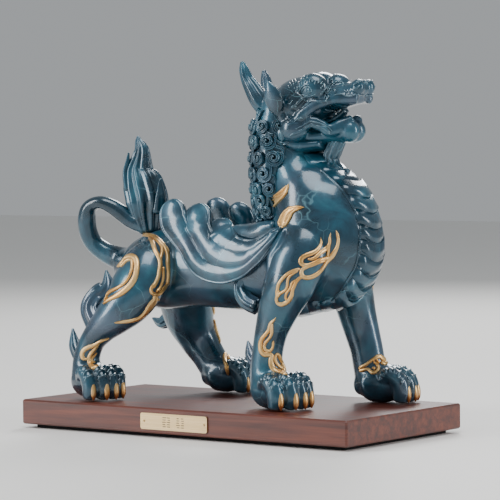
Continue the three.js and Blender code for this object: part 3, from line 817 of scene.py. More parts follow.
def curl(parts, skin, anchor, radius, way):
    """A lock that comes down beside the anchor and winds inwards to a raised snail."""
    (centre,), (normal,) = settled(skin, [anchor])
    side = np.cross((0, 0, 1), normal)
    side /= np.linalg.norm(side)
    rise = np.cross(normal, side)
    path = list(CURL_LEAD)
    for k in range(int(CURL_TURNS * CURL_STEPS) + 1):
        turn = 2 * math.pi * k / CURL_STEPS
        reach = CURL_START * (1 - CURL_CLOSING * turn / (2 * math.pi * CURL_TURNS))
        rises = CURL_LOW + CURL_CLIMB * (CURL_START - reach)
        path.append((reach * math.cos(turn), -reach * math.sin(turn), rises))
    line = smooth_line(path)
    count = len(path) * 2
    spots = np.array([line(k / count) for k in range(count + 1)])
    flat = centre + radius * (np.outer(spots[:, 0] * way, side) + np.outer(spots[:, 1], rise))
    places, normals = settled(skin, flat)
    places += normals * (spots[:, 2] * radius * CURL_LIFT)[:, None]
    widths = radius * CURL_STRAND * np.interp(np.linspace(0, 1, count + 1), *CURL_FULLNESS)
    places, normals, widths = even(places, normals, widths, 1)
    strip(parts, places, normals, widths, CURL_HIGH, TWO_LOCKS)
    ball(parts, places[-1], [radius * CURL_BEAD] * 3, subdivisions=2)


chance = np.random.default_rng(7)
mane = []
mane_line = smooth_line([s[:3] for s in MANE])
for row in range(MANE_ROWS):
    middle = mane_line(MANE_FROM + MANE_SPAN * row / (MANE_ROWS - 1))
    front = MANE_FRONT - MANE_RECEDES * row
    for k in range(CURLS_IN_ROW):
        angle = math.radians(180 + front * (2 * (k + 0.5 * (row % 2)) / (CURLS_IN_ROW - 1) - 1))
        if abs(math.degrees(angle) - 180) > front + MANE_SPARE:
            continue
        anchor = middle + MANE_OUTSIDE * np.array((math.cos(angle), math.sin(angle), 0))
        curl(mane, mane_skin, anchor, CURL_RADIUS + chance.uniform(-CURL_VARIES, CURL_VARIES),
             1 if (k + row) % 2 else -1)
mane.append(mane_skin.data.copy())
cast_piece("mane", joined(mane), strength=0.6)

# The jaw's fringe and the beard
# Under the jaw the casting is closed by a smooth web. A long swirl and short locks lie on the cheek, and
# the beard hangs from the chin in one fluted lock.
FRINGE_VOXEL, SWIRL_HIGH, LOCK_HIGH = 1.0, 2.6, 2.2
BEARD_FLUTES, BEARD_FLUTING = 12, 0.09
JAW_SWIRL = (
    ((311.9, 156.5, 0.7), (307.2, 158.2, 1.5), (301.9, 161.5, 2.3), (296.5, 165.2, 2.7),
     (291.2, 166.9, 2.8), (286.5, 165.9, 2.7), (283.1, 162.9, 2.4), (282.5, 159.5, 2.0),
     (284.5, 157.2, 1.6), (287.8, 157.5, 1.2), (288.5, 159.9, 0.8), (286.5, 160.9, 0.4)),
    ((310.6, 158.2, 0.5), (305.9, 161.5, 1.1), (300.5, 165.9, 1.5), (295.2, 169.2, 1.6),
     (289.8, 170.2, 1.5), (285.8, 168.9, 0.8)),
)
CHEEK_LOCKS = (
    ((264.4, 128.0, 0.5), (266.4, 131.4, 1.5), (269.4, 134.1, 1.6), (272.4, 135.1, 0.7)),
    ((263.0, 140.1, 0.5), (267.7, 141.4, 1.6), (271.7, 144.8, 1.7), (274.4, 146.1, 0.7)),
    ((271.1, 148.5, 0.5), (274.4, 152.2, 1.9), (279.1, 153.5, 2.0), (283.8, 152.8, 0.8)),
    ((275.1, 143.4, 0.5), (277.8, 146.8, 1.6), (281.8, 148.5, 1.7), (286.5, 147.5, 0.7)),
    ((272.5, 143.5, 0.6), (276.4, 146.7, 1.9), (281.1, 147.8, 1.9), (285.8, 146.7, 0.6)),
    ((264.0, 128.0, 0.6), (267.1, 132.7, 2.0), (271.0, 135.0, 2.0), (274.1, 134.2, 0.6)),
    ((276.4, 138.9, 0.6), (279.5, 142.0, 1.9), (284.2, 143.5, 1.9), (288.9, 142.4, 0.6)),
)
BEARD = ((117, 0, 261, 9, 7), (111, 0, 250, 9.5, 7.5), (108, 0, 242, 9, 7), (112, 0, 234, 8.5, 6),
         (121, 0, 228.5, 6.5, 5), (128, 0, 230, 3, 3))
JAW_WEB = ((62, 0, 262, 30, 14), (84, 0, 256, 27, 10), (104, 0, 257, 20, 7))


def beard_and_web():
    parts = []
    limb(parts, BEARD, step=1.4, section=oval(72, BEARD_FLUTES, BEARD_FLUTING))
    limb(parts, JAW_WEB)
    return parts


fringe = [*beard_and_web(), mane_skin.data.copy(), head_skin.data.copy()]
fringe_skin = linked("fringe_skin", melted(fringe, FRINGE_VOXEL))
fringe = beard_and_web()
for lines, high, section in ((JAW_SWIRL, SWIRL_HIGH, THREE_LOCKS), (CHEEK_LOCKS, LOCK_HIGH, TWO_LOCKS)):
    for pixels in lines:
        places, normals, widths = traced(fringe_skin, pixels, 0.7)
        for mirror in (1, MIRROR):
            strip(fringe, places * mirror, normals * mirror, widths, high, section)
cast_piece("fringe", joined(fringe), strength=0.6)

# The wings
# Four long feathers a side are cast with the body and curl up from the shoulder over the flank. Each is a
# domed blade with a raised rim, and lies a little over the one below it.
# The left and right edge of each of the three upper feathers, from tip to root, in pixels.
FEATHER_EDGES = (
    ((161.0, 214.2), (162.3, 221.4), (168.2, 230.5), (174.7, 239.7), (181.3, 250.1), (185.2, 259.3),
     (190.4, 267.1), (198.3, 273.7), (207.4, 278.2), (217.9, 280.2), (228.4, 278.9), (237.5, 275.6),
     (246.7, 269.7), (255.8, 261.9), (266.3, 250.1), (275.4, 238.4), (283.3, 227.9)),
    ((185.9, 215.5), (188.5, 222.7), (192.4, 231.8), (196.3, 241.0), (200.9, 250.1), (206.1, 257.3),
     (212.7, 263.2), (220.5, 265.8), (231.0, 266.5), (240.1, 265.2), (249.3, 261.9), (257.1, 255.4),
     (266.3, 245.6), (275.4, 235.8), (282.0, 228.6)),
    ((185.2, 216.1), (187.6, 222.7), (191.5, 231.8), (195.4, 241.0), (200.0, 250.1), (205.2, 258.0),
     (212.0, 264.0), (219.9, 266.9), (231.0, 267.4), (240.1, 266.1), (249.3, 262.7), (257.1, 256.2),
     (266.3, 246.2), (275.4, 236.4), (282.6, 229.0)),
    ((210.7, 222.7), (211.4, 229.2), (214.6, 235.8), (219.2, 242.3), (225.7, 248.2), (233.6, 252.1),
     (242.7, 254.1), (251.9, 251.4), (261.0, 246.2), (270.2, 238.4), (278.0, 230.5), (282.0, 227.3)),
    ((211.1, 224.3), (210.8, 229.9), (214.0, 236.4), (218.5, 242.9), (225.1, 249.1), (233.3, 253.0),
     (242.7, 255.0), (251.9, 252.4), (261.0, 247.1), (270.2, 239.3), (278.0, 231.4), (282.6, 227.9)),
    ((230.3, 234.5), (233.6, 238.4), (237.5, 241.6), (244.0, 244.9), (251.9, 244.3), (259.7, 241.6),
     (267.6, 235.8), (276.7, 227.9), (282.0, 225.3)),
)
# How far from the middle plane each of them lies, at even steps from tip to root.
FEATHER_DEPTHS = ((-37, -39, -41, -43, -44, -45, -46, -47, -47, -45),
                  (-36, -39, -41, -43, -44, -45, -46, -46, -46, -44),
                  (-35, -38, -40, -42, -43, -44, -45, -45, -45, -43))
FEATHER_STEPS, TIP_STEPS, TIP_SPREAD, FEATHER_OVERLAP, TIP_THICK = 60, 8, 8.4, 0.5, 0.35
FEATHER_THICK = ((0, 0.1, 0.5, 1), (6.5, 7.5, 7.5, 5.5))
EDGE_HIGH, DOME, RIM, RIM_AT, RIM_WIDE = 0.3, 0.5, 0.2, 0.92, 0.05
LAST_FEATHER = ((17, -33, 173, 5, 5), (27, -35, 170, 6, 8), (40, -36, 169, 7, 10), (53, -37, 172, 7, 10),
                (66, -37, 176, 6, 7))
FEATHER = [(a, EDGE_HIGH + DOME * (1 - a * a) + RIM * math.exp(-((abs(a) - RIM_AT) / RIM_WIDE) ** 2))
           for a in np.linspace(-1, 1, 33)]
FEATHER += [(a, -1.0 * (1 - a * a) ** 0.5) for a in np.linspace(0.98, -0.98, 9)]


def at_depth(x, y, depth):
    """The place of a pixel on the upright plane y = depth along the beast."""
    place, away = eye_ray((x, y))
    return np.array(place + away * ((depth - place.y) / away.y))


wings = []
shares = np.linspace(0, 1, FEATHER_STEPS + 1)
for k, depths in enumerate(FEATHER_DEPTHS):
    left, right = smooth_line(FEATHER_EDGES[2 * k]), smooth_line(FEATHER_EDGES[2 * k + 1])
    depths = np.interp(shares, np.linspace(0, 1, len(depths)), depths)
    edges = np.array([(at_depth(*left(share), depth), at_depth(*right(share), depth))
                      for share, depth in zip(shares, depths)])
    centres = edges.mean(1)
    halves = np.linalg.norm(edges[:, 0] - edges[:, 1], axis=1) / 2 + FEATHER_OVERLAP
    along = np.gradient(centres, axis=0)
    thick = np.interp(shares, *FEATHER_THICK)
    frames = []
    for step in range(-TIP_STEPS, FEATHER_STEPS + 1):
        at = max(step, 0)
        over = max(-step, 0) / TIP_SPREAD
        shrink = math.sqrt(1 - over * over)
        way = along[at] / np.linalg.norm(along[at])
        wide = edges[at, 0] - edges[at, 1]
        wide -= way * (wide @ way)
        wide /= np.linalg.norm(wide)
        out = np.cross(wide, way)
        out *= -np.sign(out[1])
        frames.append((centres[at] - way * over * halves[at], wide * halves[at] * shrink,
                       out * thick[at] * (TIP_THICK + (1 - TIP_THICK) * shrink), way))
    for mirror in (1, MIRROR):
        sweep(wings, [laid(*(part * mirror for part in frame)) for frame in frames], FEATHER)
limb(wings, LAST_FEATHER)
limb(wings, other_side(LAST_FEATHER))
cast_piece("wings", joined(wings), strength=0.8)

# The tail's flame and the legs' tufts
# Each is a bundle of flame locks cast with the body: a limb fluted into strands that run to its point.
TAIL_FLAME = ((-118, 0, 170, 12, 11), (-121, 0, 185, 15, 17), (-122, 0, 200, 18, 22), (-127, 0, 216, 17, 21),
              (-131, 0, 231, 14, 15.5), (-129, 0, 243, 10, 10), (-128.5, 0, 252, 7, 7.5),
              (-132, 0, 261, 4, 3.8), (-133, 0, 266, 1.5, 1.2))
TAIL_TONGUES = (((-139, -8, 212, 6, 6), (-141, -10, 229, 4.5, 4), (-139, -10, 241, 2.6, 2),
                 (-138.6, -9, 249, 1, 1)),
                ((-104, -3, 190, 8, 8), (-101, -5, 205, 6, 6), (-99, -7, 216, 3, 2.6), (-98, -8, 222, 1, 1)))
LEG_TUFTS = (((46, -40, 98, 7, 8), (31, -37, 104, 7, 8.5), (23, -35, 116, 7, 7), (27, -35, 127, 6, 6),
              (30, -34, 140, 1, 1)),
             ((-136, -64, 76, 9, 14), (-146, -61, 92, 9, 13), (-143, -56, 104, 8, 11), (-134, -51, 113, 6, 9),
              (-136, -50, 130, 1, 1)),
             ((-158, -64, 38, 5, 8), (-168, -62, 52, 5, 7), (-173, -60, 70, 1, 1)),
             ((52, -46, 42, 5, 8), (42, -44, 51, 5, 6.5), (37, -43, 64, 1, 1)),
             ((48, 46, 100, 7, 8), (38, 44, 108, 7, 8), (34, 42, 120, 6, 5), (36, 41, 134, 1, 1)),
             ((-138, 56, 76, 6, 9), (-150, 58, 70, 6, 6), (-164, 60, 74, 1, 1)),
             ((-98, 64, 26, 4, 6), (-108, 64, 34, 4, 4), (-118, 64, 44, 1, 1)))
tufts = []
limb(tufts, TAIL_FLAME, step=1.6, section=oval(96, 11, 0.09))
for stations in TAIL_TONGUES:
    limb(tufts, stations, step=1.5, section=oval(32, 4, 0.1))
for stations in LEG_TUFTS:
    limb(tufts, stations, step=1.5, section=oval(48, 8, 0.09))
cast_piece("tufts", joined(tufts), strength=0.6)

# Gilded flames
# Raised flame strands on haunch, shoulder and shins, cast with the skin and gilded. Each strand is a row
# of pixels of the picture with its half width there, laid on the skin.
HAUNCH_FLAMES = (
    ((120.6, 240.8, 3.6), (124.2, 239.3, 4.4), (129.7, 237.1, 2.7), (135.1, 236.1, 2.1),
     (142.4, 235.2, 1.8), (149.7, 235.4, 2.1), (155.7, 237.7, 1.9), (161.8, 243.2, 1.8),
     (165.7, 249.2, 1.7), (167.8, 256.5, 1.7), (167.6, 263.8, 1.9), (168.1, 271.0, 1.8),
     (167.8, 278.3, 1.8), (166.6, 284.4, 1.9), (163.0, 289.2, 1.9), (158.8, 293.8, 1.7),
     (154.5, 294.3, 1.5), (151.5, 292.3, 1.3), (151.1, 289.2, 1.3), (153.1, 285.6, 1.2), (156.3, 282.0, 1.1)),
    ((149.1, 237.1, 1.0), (152.7, 243.2, 1.6), (154.8, 249.8, 1.6), (157.5, 254.7, 1.7),
     (159.6, 259.5, 1.7), (160.3, 265.0, 1.7), (159.4, 271.0, 1.6), (158.2, 277.1, 1.5),
     (155.5, 283.2, 1.5), (152.7, 288.0, 1.3)),
    ((152.1, 237.7, 1.1), (157.5, 241.4, 1.2), (161.2, 246.2, 1.2), (162.0, 251.7, 1.3),
     (160.6, 257.1, 1.2), (160.0, 261.4, 1.1)),
    ((163.0, 266.8, 1.2), (163.2, 273.5, 1.3), (162.8, 279.5, 1.2), (161.2, 284.4, 1.1),
     (158.8, 289.2, 1.1), (155.7, 291.4, 1.0)),
    ((166.0, 247.4, 1.0), (168.3, 250.7, 0.7), (168.9, 254.1, 0.1)),
    ((165.7, 285.6, 1.0), (168.1, 283.4, 0.6), (168.7, 280.7, 0.1)),
    ((156.3, 297.7, 1.2), (159.6, 301.1, 1.0), (161.5, 299.2, 0.2)),
    ((154.5, 294.3, 1.7), (155.1, 298.9, 2.4), (152.7, 303.2, 3.2), (149.1, 308.0, 2.9),
     (146.6, 311.6, 2.4), (143.6, 314.7, 2.1), (139.4, 318.1, 1.8), (133.9, 320.1, 1.7),
     (127.9, 321.3, 1.5), (121.8, 321.9, 1.1), (117.0, 322.3, 0.6), (114.5, 322.4, 0.1)),
    ((118.2, 267.4, 0.7), (119.6, 265.2, 1.9), (123.0, 261.4, 1.9), (126.0, 257.5, 1.8),
     (130.3, 255.9, 2.1), (134.5, 257.5, 2.2), (136.6, 262.0, 2.2), (136.8, 268.6, 2.2),
     (135.4, 275.9, 2.3), (132.1, 282.6, 2.4), (127.3, 288.0, 2.4), (121.2, 292.9, 2.3),
     (115.1, 296.5, 1.9), (109.7, 299.2, 1.5), (105.4, 302.6, 0.8), (103.6, 304.4, 0.1)),
    ((120.6, 266.8, 1.0), (124.2, 263.5, 1.1), (127.9, 260.1, 1.0), (131.5, 260.1, 1.0),
     (132.3, 265.0, 1.0), (131.5, 271.0, 1.1), (129.1, 277.1, 1.2), (125.4, 282.0, 1.2),
     (120.6, 286.2, 1.2), (115.1, 289.2, 1.3), (110.3, 291.6, 1.5), (107.9, 294.1, 1.2),
     (106.7, 297.7, 1.0), (104.8, 301.9, 0.4)),
)
HOCK_FLAMES = (
    ((109.4, 337.7, 0.1), (104.8, 339.5, 0.8), (100.0, 341.6, 1.3), (95.1, 345.0, 1.6), (89.1, 347.1, 1.6),
     (84.2, 349.8, 1.7), (82.1, 353.7, 1.7), (83.0, 358.0, 1.6), (85.7, 359.3, 1.1), (88.5, 357.7, 0.8),
     (89.7, 354.7, 0.6)),
    ((99.4, 341.9, 0.7), (96.4, 346.8, 1.2), (93.3, 351.0, 1.5), (90.3, 354.7, 1.5), (89.1, 359.5, 1.6),
     (90.5, 364.4, 1.8), (93.9, 367.4, 2.2), (97.8, 365.6, 1.7), (99.4, 361.3, 1.1), (101.0, 355.9, 0.2)),
    ((96.4, 352.2, 0.4), (94.5, 355.3, 0.8), (92.5, 357.7, 1.1), (91.7, 360.7, 1.1), (95.1, 363.1, 1.2)),
)
FAR_HIND_FLAMES = (
    ((227.8, 350.4, 0.5), (225.4, 354.1, 1.5), (224.8, 359.5, 1.6), (226.3, 364.4, 1.7),
     (227.0, 369.2, 1.7), (228.2, 373.4, 1.2), (228.7, 375.3, 0.4)),
    ((229.0, 351.0, 0.6), (231.8, 354.7, 1.3), (233.0, 359.5, 1.5), (231.5, 364.4, 1.5), (229.0, 366.8, 1.0)),
    ((228.4, 353.4, 0.6), (228.8, 358.3, 1.1), (229.0, 363.1, 0.8)),
    ((215.6, 314.4, 0.2), (213.9, 318.9, 0.7), (214.5, 324.4, 0.7), (216.1, 329.2, 1.0),
     (217.9, 335.3, 1.0), (219.5, 341.3, 0.5), (219.7, 343.8, 0.1)),
)
ARM_FLAMES = (
    ((320.8, 237.5, 0.1), (321.2, 242.5, 0.9), (319.6, 247.0, 1.2), (316.0, 251.2, 1.5),
     (310.9, 253.7, 1.7), (305.4, 255.7, 1.7), (301.5, 258.7, 1.8), (300.7, 262.4, 1.7),
     (303.7, 265.1, 1.5), (308.7, 264.9, 1.3), (314.3, 262.4, 1.3), (319.9, 260.0, 1.5),
     (325.4, 258.7, 1.6), (329.4, 257.1, 1.6)),
    ((330.8, 232.5, 0.1), (329.9, 238.1, 0.9), (329.4, 244.2, 1.2), (326.0, 248.7, 1.6),
     (321.5, 252.0, 1.6), (317.6, 255.4, 1.5), (314.3, 258.2, 1.3), (310.9, 259.3, 1.1), (307.6, 258.7, 0.9)),
    ((336.0, 230.3, 0.1), (337.2, 233.6, 0.9), (338.3, 239.2, 1.1), (337.5, 245.9, 1.3),
     (334.9, 251.5, 1.6), (331.6, 256.5, 2.0), (327.7, 260.4, 1.8), (324.3, 265.4, 1.6),
     (320.4, 271.0, 1.6), (314.8, 275.5, 1.7), (308.7, 277.7, 1.7), (303.7, 277.1, 1.6),
     (301.5, 273.8, 1.5), (302.0, 269.9, 1.3), (306.5, 267.3, 1.2), (313.2, 264.9, 1.1),
     (319.9, 262.1, 1.1), (324.9, 260.6, 1.0)),
    ((329.9, 241.4, 0.6), (329.0, 247.0, 1.0), (328.2, 252.0, 1.1), (327.1, 256.5, 1.1)),
    ((303.1, 276.6, 1.1), (298.7, 278.8, 1.3), (295.9, 282.2, 1.3), (294.2, 286.1, 1.3),
     (292.5, 290.0, 1.3), (291.7, 295.0, 1.5), (289.2, 300.0, 1.7), (285.3, 303.4, 1.7),
     (280.8, 304.5, 1.7), (277.5, 302.8, 1.3), (276.6, 298.9, 1.2), (278.0, 294.4, 1.3), (279.7, 290.5, 1.0)),
    ((300.3, 268.8, 0.9), (296.4, 269.9, 1.2), (291.4, 271.8, 1.3), (286.4, 274.9, 1.3),
     (282.5, 278.8, 1.3), (279.1, 283.3, 1.3), (277.7, 288.3, 1.3), (277.2, 293.9, 1.3), (277.5, 298.3, 0.9)),
    ((298.1, 271.0, 0.7), (293.1, 273.8, 0.9), (289.2, 277.1, 0.9), (287.7, 281.6, 1.0),
     (287.5, 286.1, 1.0), (285.8, 290.0, 1.1), (282.5, 292.2, 1.1), (279.7, 293.9, 1.1), (278.6, 297.2, 0.9)),
    ((298.7, 278.3, 0.6), (292.0, 282.7, 0.9), (290.8, 287.2, 1.0), (288.6, 290.5, 1.0),
     (286.4, 293.9, 1.0), (285.8, 297.8, 1.0), (287.5, 300.6, 0.8)),
)
SHOULDER_LEAVES = (
    ((288.8, 184.0, 0.1), (287.5, 188.4, 1.3), (284.7, 192.9, 2.5), (280.2, 196.6, 3.1),
     (275.2, 199.9, 3.3), (270.5, 204.0, 3.6), (267.2, 208.5, 3.8), (265.4, 213.0, 2.7), (265.8, 216.0, 0.9)),
    ((304.5, 207.5, 0.1), (299.8, 207.5, 1.1), (294.8, 208.2, 1.8), (289.7, 210.4, 3.1),
     (286.2, 214.6, 3.8), (283.9, 219.7, 4.0), (282.5, 224.1, 3.1), (283.0, 228.0, 1.6)),
)
LEAF_EDGES = (
    ((288.1, 185.6, 0.6), (283.0, 190.1, 0.9), (276.9, 194.8, 0.9), (270.8, 199.0, 0.9),
     (265.4, 204.6, 1.0), (263.5, 210.2, 1.0), (264.1, 214.6, 0.7)),
    ((287.5, 192.3, 0.7), (283.0, 197.3, 0.9), (278.0, 202.4, 0.9), (274.1, 207.9, 1.0),
     (270.8, 212.4, 0.9), (266.9, 215.8, 0.6)),
    ((285.8, 192.3, 0.3), (280.8, 195.9, 0.7), (275.2, 199.2, 0.7), (270.8, 203.5, 0.7),
     (267.4, 207.9, 0.7), (266.5, 211.3, 0.4)),
    ((303.1, 207.1, 0.4), (296.4, 206.8, 1.0), (289.7, 208.5, 1.0), (284.7, 212.4, 1.0),
     (281.4, 218.0, 1.0), (279.7, 223.6, 1.0), (281.9, 228.0, 0.6)),
    ((302.0, 208.5, 0.4), (296.4, 210.0, 0.9), (292.5, 213.0, 0.9), (290.3, 218.0, 0.9),
     (287.5, 223.0, 0.9), (284.7, 226.9, 0.6)),
    ((296.4, 208.5, 0.4), (291.4, 211.1, 0.7), (288.1, 214.6, 0.7), (286.4, 219.1, 0.6), (285.3, 222.5, 0.3)),
)
SHIN_FLAMES = (
    ((275.9, 317.3, 0.1), (274.0, 320.3, 0.9), (270.9, 323.4, 1.4), (269.6, 326.8, 1.3),
     (268.6, 330.7, 1.4), (265.6, 334.5, 1.5), (262.5, 338.3, 1.7), (260.8, 342.1, 1.8),
     (260.4, 346.7, 1.8), (261.4, 351.3, 2.0), (264.8, 354.8, 2.0), (269.0, 354.4, 2.0),
     (271.7, 355.9, 1.7), (270.9, 360.5, 1.8), (271.7, 365.9, 2.0), (274.7, 370.1, 2.0),
     (278.6, 371.2, 1.8), (282.4, 372.8, 1.7), (285.5, 374.3, 1.1), (287.0, 375.7, 0.3)),
    ((272.4, 323.0, 0.6), (271.8, 327.6, 1.1), (271.7, 332.2, 1.2), (270.9, 336.0, 1.1),
     (268.2, 339.8, 1.1), (265.6, 342.9, 1.1), (264.4, 346.7, 1.1), (265.6, 349.8, 1.1),
     (268.6, 351.3, 1.2), (271.3, 350.2, 1.1), (272.8, 346.7, 0.9), (273.1, 342.9, 0.9), (273.6, 340.2, 0.2)),
    ((277.0, 352.9, 0.6), (275.5, 355.9, 1.2), (275.1, 359.7, 1.2), (276.7, 363.6, 1.2),
     (279.3, 366.6, 1.4), (282.4, 368.9, 1.4), (284.7, 372.0, 1.1)),
    ((277.0, 352.9, 0.8), (279.0, 355.9, 1.4), (280.5, 359.7, 1.5), (282.8, 364.3, 1.5),
     (285.1, 368.9, 1.4), (286.2, 373.5, 0.6)),
)
FAR_ANKLE_FLAMES = (
    ((359.4, 369.5, 0.9), (360.8, 367.5, 1.5), (363.8, 365.8, 1.3), (367.1, 363.8, 1.2),
     (369.8, 361.8, 1.2), (372.5, 359.5, 1.2), (375.8, 357.8, 1.5), (379.2, 356.1, 1.7),
     (381.9, 358.1, 2.0), (384.6, 359.5, 2.3), (387.2, 359.5, 2.3)),
    ((359.4, 370.2, 1.1), (361.8, 370.5, 1.6), (365.1, 369.5, 1.3), (368.5, 369.2, 1.2),
     (370.5, 371.5, 1.3), (373.5, 372.9, 1.5), (376.9, 371.5, 1.3), (378.5, 368.5, 1.3),
     (377.9, 365.5, 1.2), (375.2, 362.8, 0.9), (373.5, 363.5, 0.7)),
    ((371.8, 368.5, 0.5), (373.8, 367.5, 0.9), (375.2, 368.8, 0.7), (373.8, 370.2, 0.5)),
    ((372.5, 360.1, 0.4), (374.5, 362.1, 0.8), (376.5, 364.8, 0.7)),
    ((375.2, 358.1, 0.5), (377.2, 360.8, 0.9), (379.2, 363.5, 0.9)),
    ((380.5, 361.5, 1.5), (383.2, 363.5, 1.7), (385.9, 362.8, 1.7), (387.9, 360.1, 1.6),
     (386.6, 356.8, 1.3), (384.6, 356.1, 1.2)),
    ((382.2, 340.0, 0.1), (383.8, 343.4, 0.9), (385.2, 347.4, 1.6), (386.6, 350.8, 1.7), (386.9, 353.4, 0.7)),
)
BREAST_FLAME = (
    ((382.9, 252.0, 0.7), (381.8, 257.1, 1.6), (380.1, 262.6, 1.3), (379.0, 267.1, 0.3)),
)
# Each group of strands: how high it stands, and whether the far side has it too.
FLAMES = ((HAUNCH_FLAMES, 2.0, True), (HOCK_FLAMES, 1.8, False), (FAR_HIND_FLAMES, 1.8, False),
          (ARM_FLAMES, 1.8, True), (SHOULDER_LEAVES, 1.5, True), (LEAF_EDGES, 2.3, True),
          (SHIN_FLAMES, 1.8, False), (FAR_ANKLE_FLAMES, 1.8, False), (BREAST_FLAME, 1.8, False))
STRAND_SPREAD, FEWEST_PLACES = 1.4, 4
# Gilding, burnished to a satin on the raised relief: warm, with painted shade in dark red-brown in its
# hollows, and red-brown near the ground. Its tone changes over about 17 mm, and it has a grain of 1.4 mm.
TONES, GRITS = 60.0, 700.0
GOLDS = ((0.3, "#cf9c58"), (0.55, "#e6bd7e"), (0.8, "#f0d09a"))
gilt, tree, shader, place = surface("satin_gilding_painted_shade")
tone = node(tree, "ShaderNodeTexNoise", {}, {"Vector": place, "Scale": TONES, "Detail": 3.0})
colour = node(tree, "ShaderNodeValToRGB", {}, {"Fac": tone}, stops=GOLDS)
relief = node(tree, "ShaderNodeAttribute", {"attribute_name": "relief"}, {}, "Fac")
# Painted shade: the gilding's hollows darken to a deep red-brown.
hollow = node(tree, "ShaderNodeMath", CLAMPED, {0: relief, 1: -1.6, 2: -0.1})
height = node(tree, "ShaderNodeSeparateXYZ", {}, {0: place}, "Z")
# Red-brown in the lowest 12 mm or so above the plinth's top.
low = node(tree, "ShaderNodeMath", CLAMPED, {0: height, 1: -110.0, 2: 4.6})
for share, most, code in ((hollow, 0.9, "#5c2f14"), (low, 0.75, "#a5562c")):
    share = node(tree, "ShaderNodeMath", TIMES, {0: share, 1: most})
    colour = node(tree, "ShaderNodeMix", MIX, {SHARE: share, UNDER: colour, OVER: linear(code)}, MIXED)
grit = node(tree, "ShaderNodeTexNoise", {}, {"Vector": place, "Scale": GRITS, "Detail": 2.0})
grit = node(tree, "ShaderNodeBump", {}, {"Height": grit, "Strength": 0.15, "Distance": 0.0005})
rough = node(tree, "ShaderNodeMath", SCALED, {0: tone, 1: 0.3, 2: 0.2})
feed(tree, shader, {"Base Color": colour, "Normal": grit, "Roughness": rough, "Metallic": 0.8})
flames = []
for lines, high, on_far_side in FLAMES:
    for pixels in lines:
        places, normals, widths = traced(body_skin, pixels, 0.8)
        widths = widths * STRAND_SPREAD
        if len(places) < FEWEST_PLACES:
            continue
        strip(flames, places, normals, widths, high, ROUND_TOP)
        if on_far_side:
            places, normals = settled(body_skin, places * MIRROR)
            strip(flames, *even(places, normals, widths), high, ROUND_TOP)
cast_piece("gilded_flames", joined(flames), gilt, strength=0.7)

# Claws
# Each toe ends in an almond-shaped claw, cast with it and gilded like the flames.
CLAW = ((4, 1, 21, 0.6, 0.8), (0.5, 1, 17, 2.6, 2.2), (-0.5, 1, 11, 3.3, 2.8), (-0.8, 1, 6, 2.9, 2.4),
        (-0.6, 1, 1.8, 0.8, 0.8))
claws = []
for paw in PAWS:
    for toe in range(TOES):
        limb(claws, on_toe(CLAW, toe, paw), paw_across(paw), step=1.0, section=oval(20))
cast_piece("claws", joined(claws), gilt, strength=0.3)
for shape in (body_skin, head_skin, mane_skin, fringe_skin):
    bpy.data.objects.remove(shape)

# The plinth
# A red-brown hardwood board with eased edges under satin lacquer, on a black felt pad. The grain runs
# along the board, in bands about 8 mm wide with pores of 1 mm, drawn as coarse as they need to show.
GRAIN_STRETCH, GRAIN, PORE_STRETCH, PORES = (3.0, 60.0, 60.0), 2.2, (9.0, 420.0, 420.0), 2.0
BROWNS = ((0.3, "#3f1a13"), (0.5, "#5e2a1d"), (0.7, "#7a3b28"))
wood, tree, shader, place = surface("rosewood_satin_lacquer")
drawn = node(tree, "ShaderNodeMapping", {}, {"Vector": place, "Scale": GRAIN_STRETCH})
grain = node(tree, "ShaderNodeTexNoise", {}, {"Vector": drawn, "Scale": GRAIN, "Detail": 6.0,
                                              "Roughness": 0.6, "Distortion": 0.4})
drawn = node(tree, "ShaderNodeMapping", {}, {"Vector": place, "Scale": PORE_STRETCH})
pores = node(tree, "ShaderNodeTexNoise", {}, {"Vector": drawn, "Scale": PORES, "Detail": 3.0})
colour = node(tree, "ShaderNodeValToRGB", {}, {"Fac": grain}, stops=BROWNS)
dark = node(tree, "ShaderNodeMath", CLAMPED, {0: pores, 1: -4.0, 2: 2.0})
dark = node(tree, "ShaderNodeMath", TIMES, {0: dark, 1: 0.4})
colour = node(tree, "ShaderNodeMix", MIX, {SHARE: dark, UNDER: colour, OVER: linear("#2a100c")}, MIXED)
bump = node(tree, "ShaderNodeBump", {}, {"Height": pores, "Strength": 0.2, "Distance": 0.0004})
rough = node(tree, "ShaderNodeMath", SCALED, {0: grain, 1: 0.2, 2: 0.32})
feed(tree, shader, {"Base Color": colour, "Normal": bump, "Roughness": rough, "Coat Weight": 0.35,
                    "Coat Roughness": 0.22})
# Pressed wool felt, black and quite matt, with a nap of about 1 mm.
NAPS = 900.0
felt, tree, shader, place = surface("felt_black")
nap = node(tree, "ShaderNodeTexNoise", {}, {"Vector": place, "Scale": NAPS, "Detail": 4.0})
colour = node(tree, "ShaderNodeValToRGB", {}, {"Fac": nap}, stops=((0.3, "#090909"), (0.7, "#19191b")))
bump = node(tree, "ShaderNodeBump", {}, {"Height": nap, "Strength": 0.5, "Distance": 0.0004})
feed(tree, shader, {"Base Color": colour, "Normal": bump, "Roughness": 0.95})
for name, material in (("plinth", wood), ("plinth_pad", felt)):
    for slot in frame["nodes"][name].material_slots:
        slot.material = material

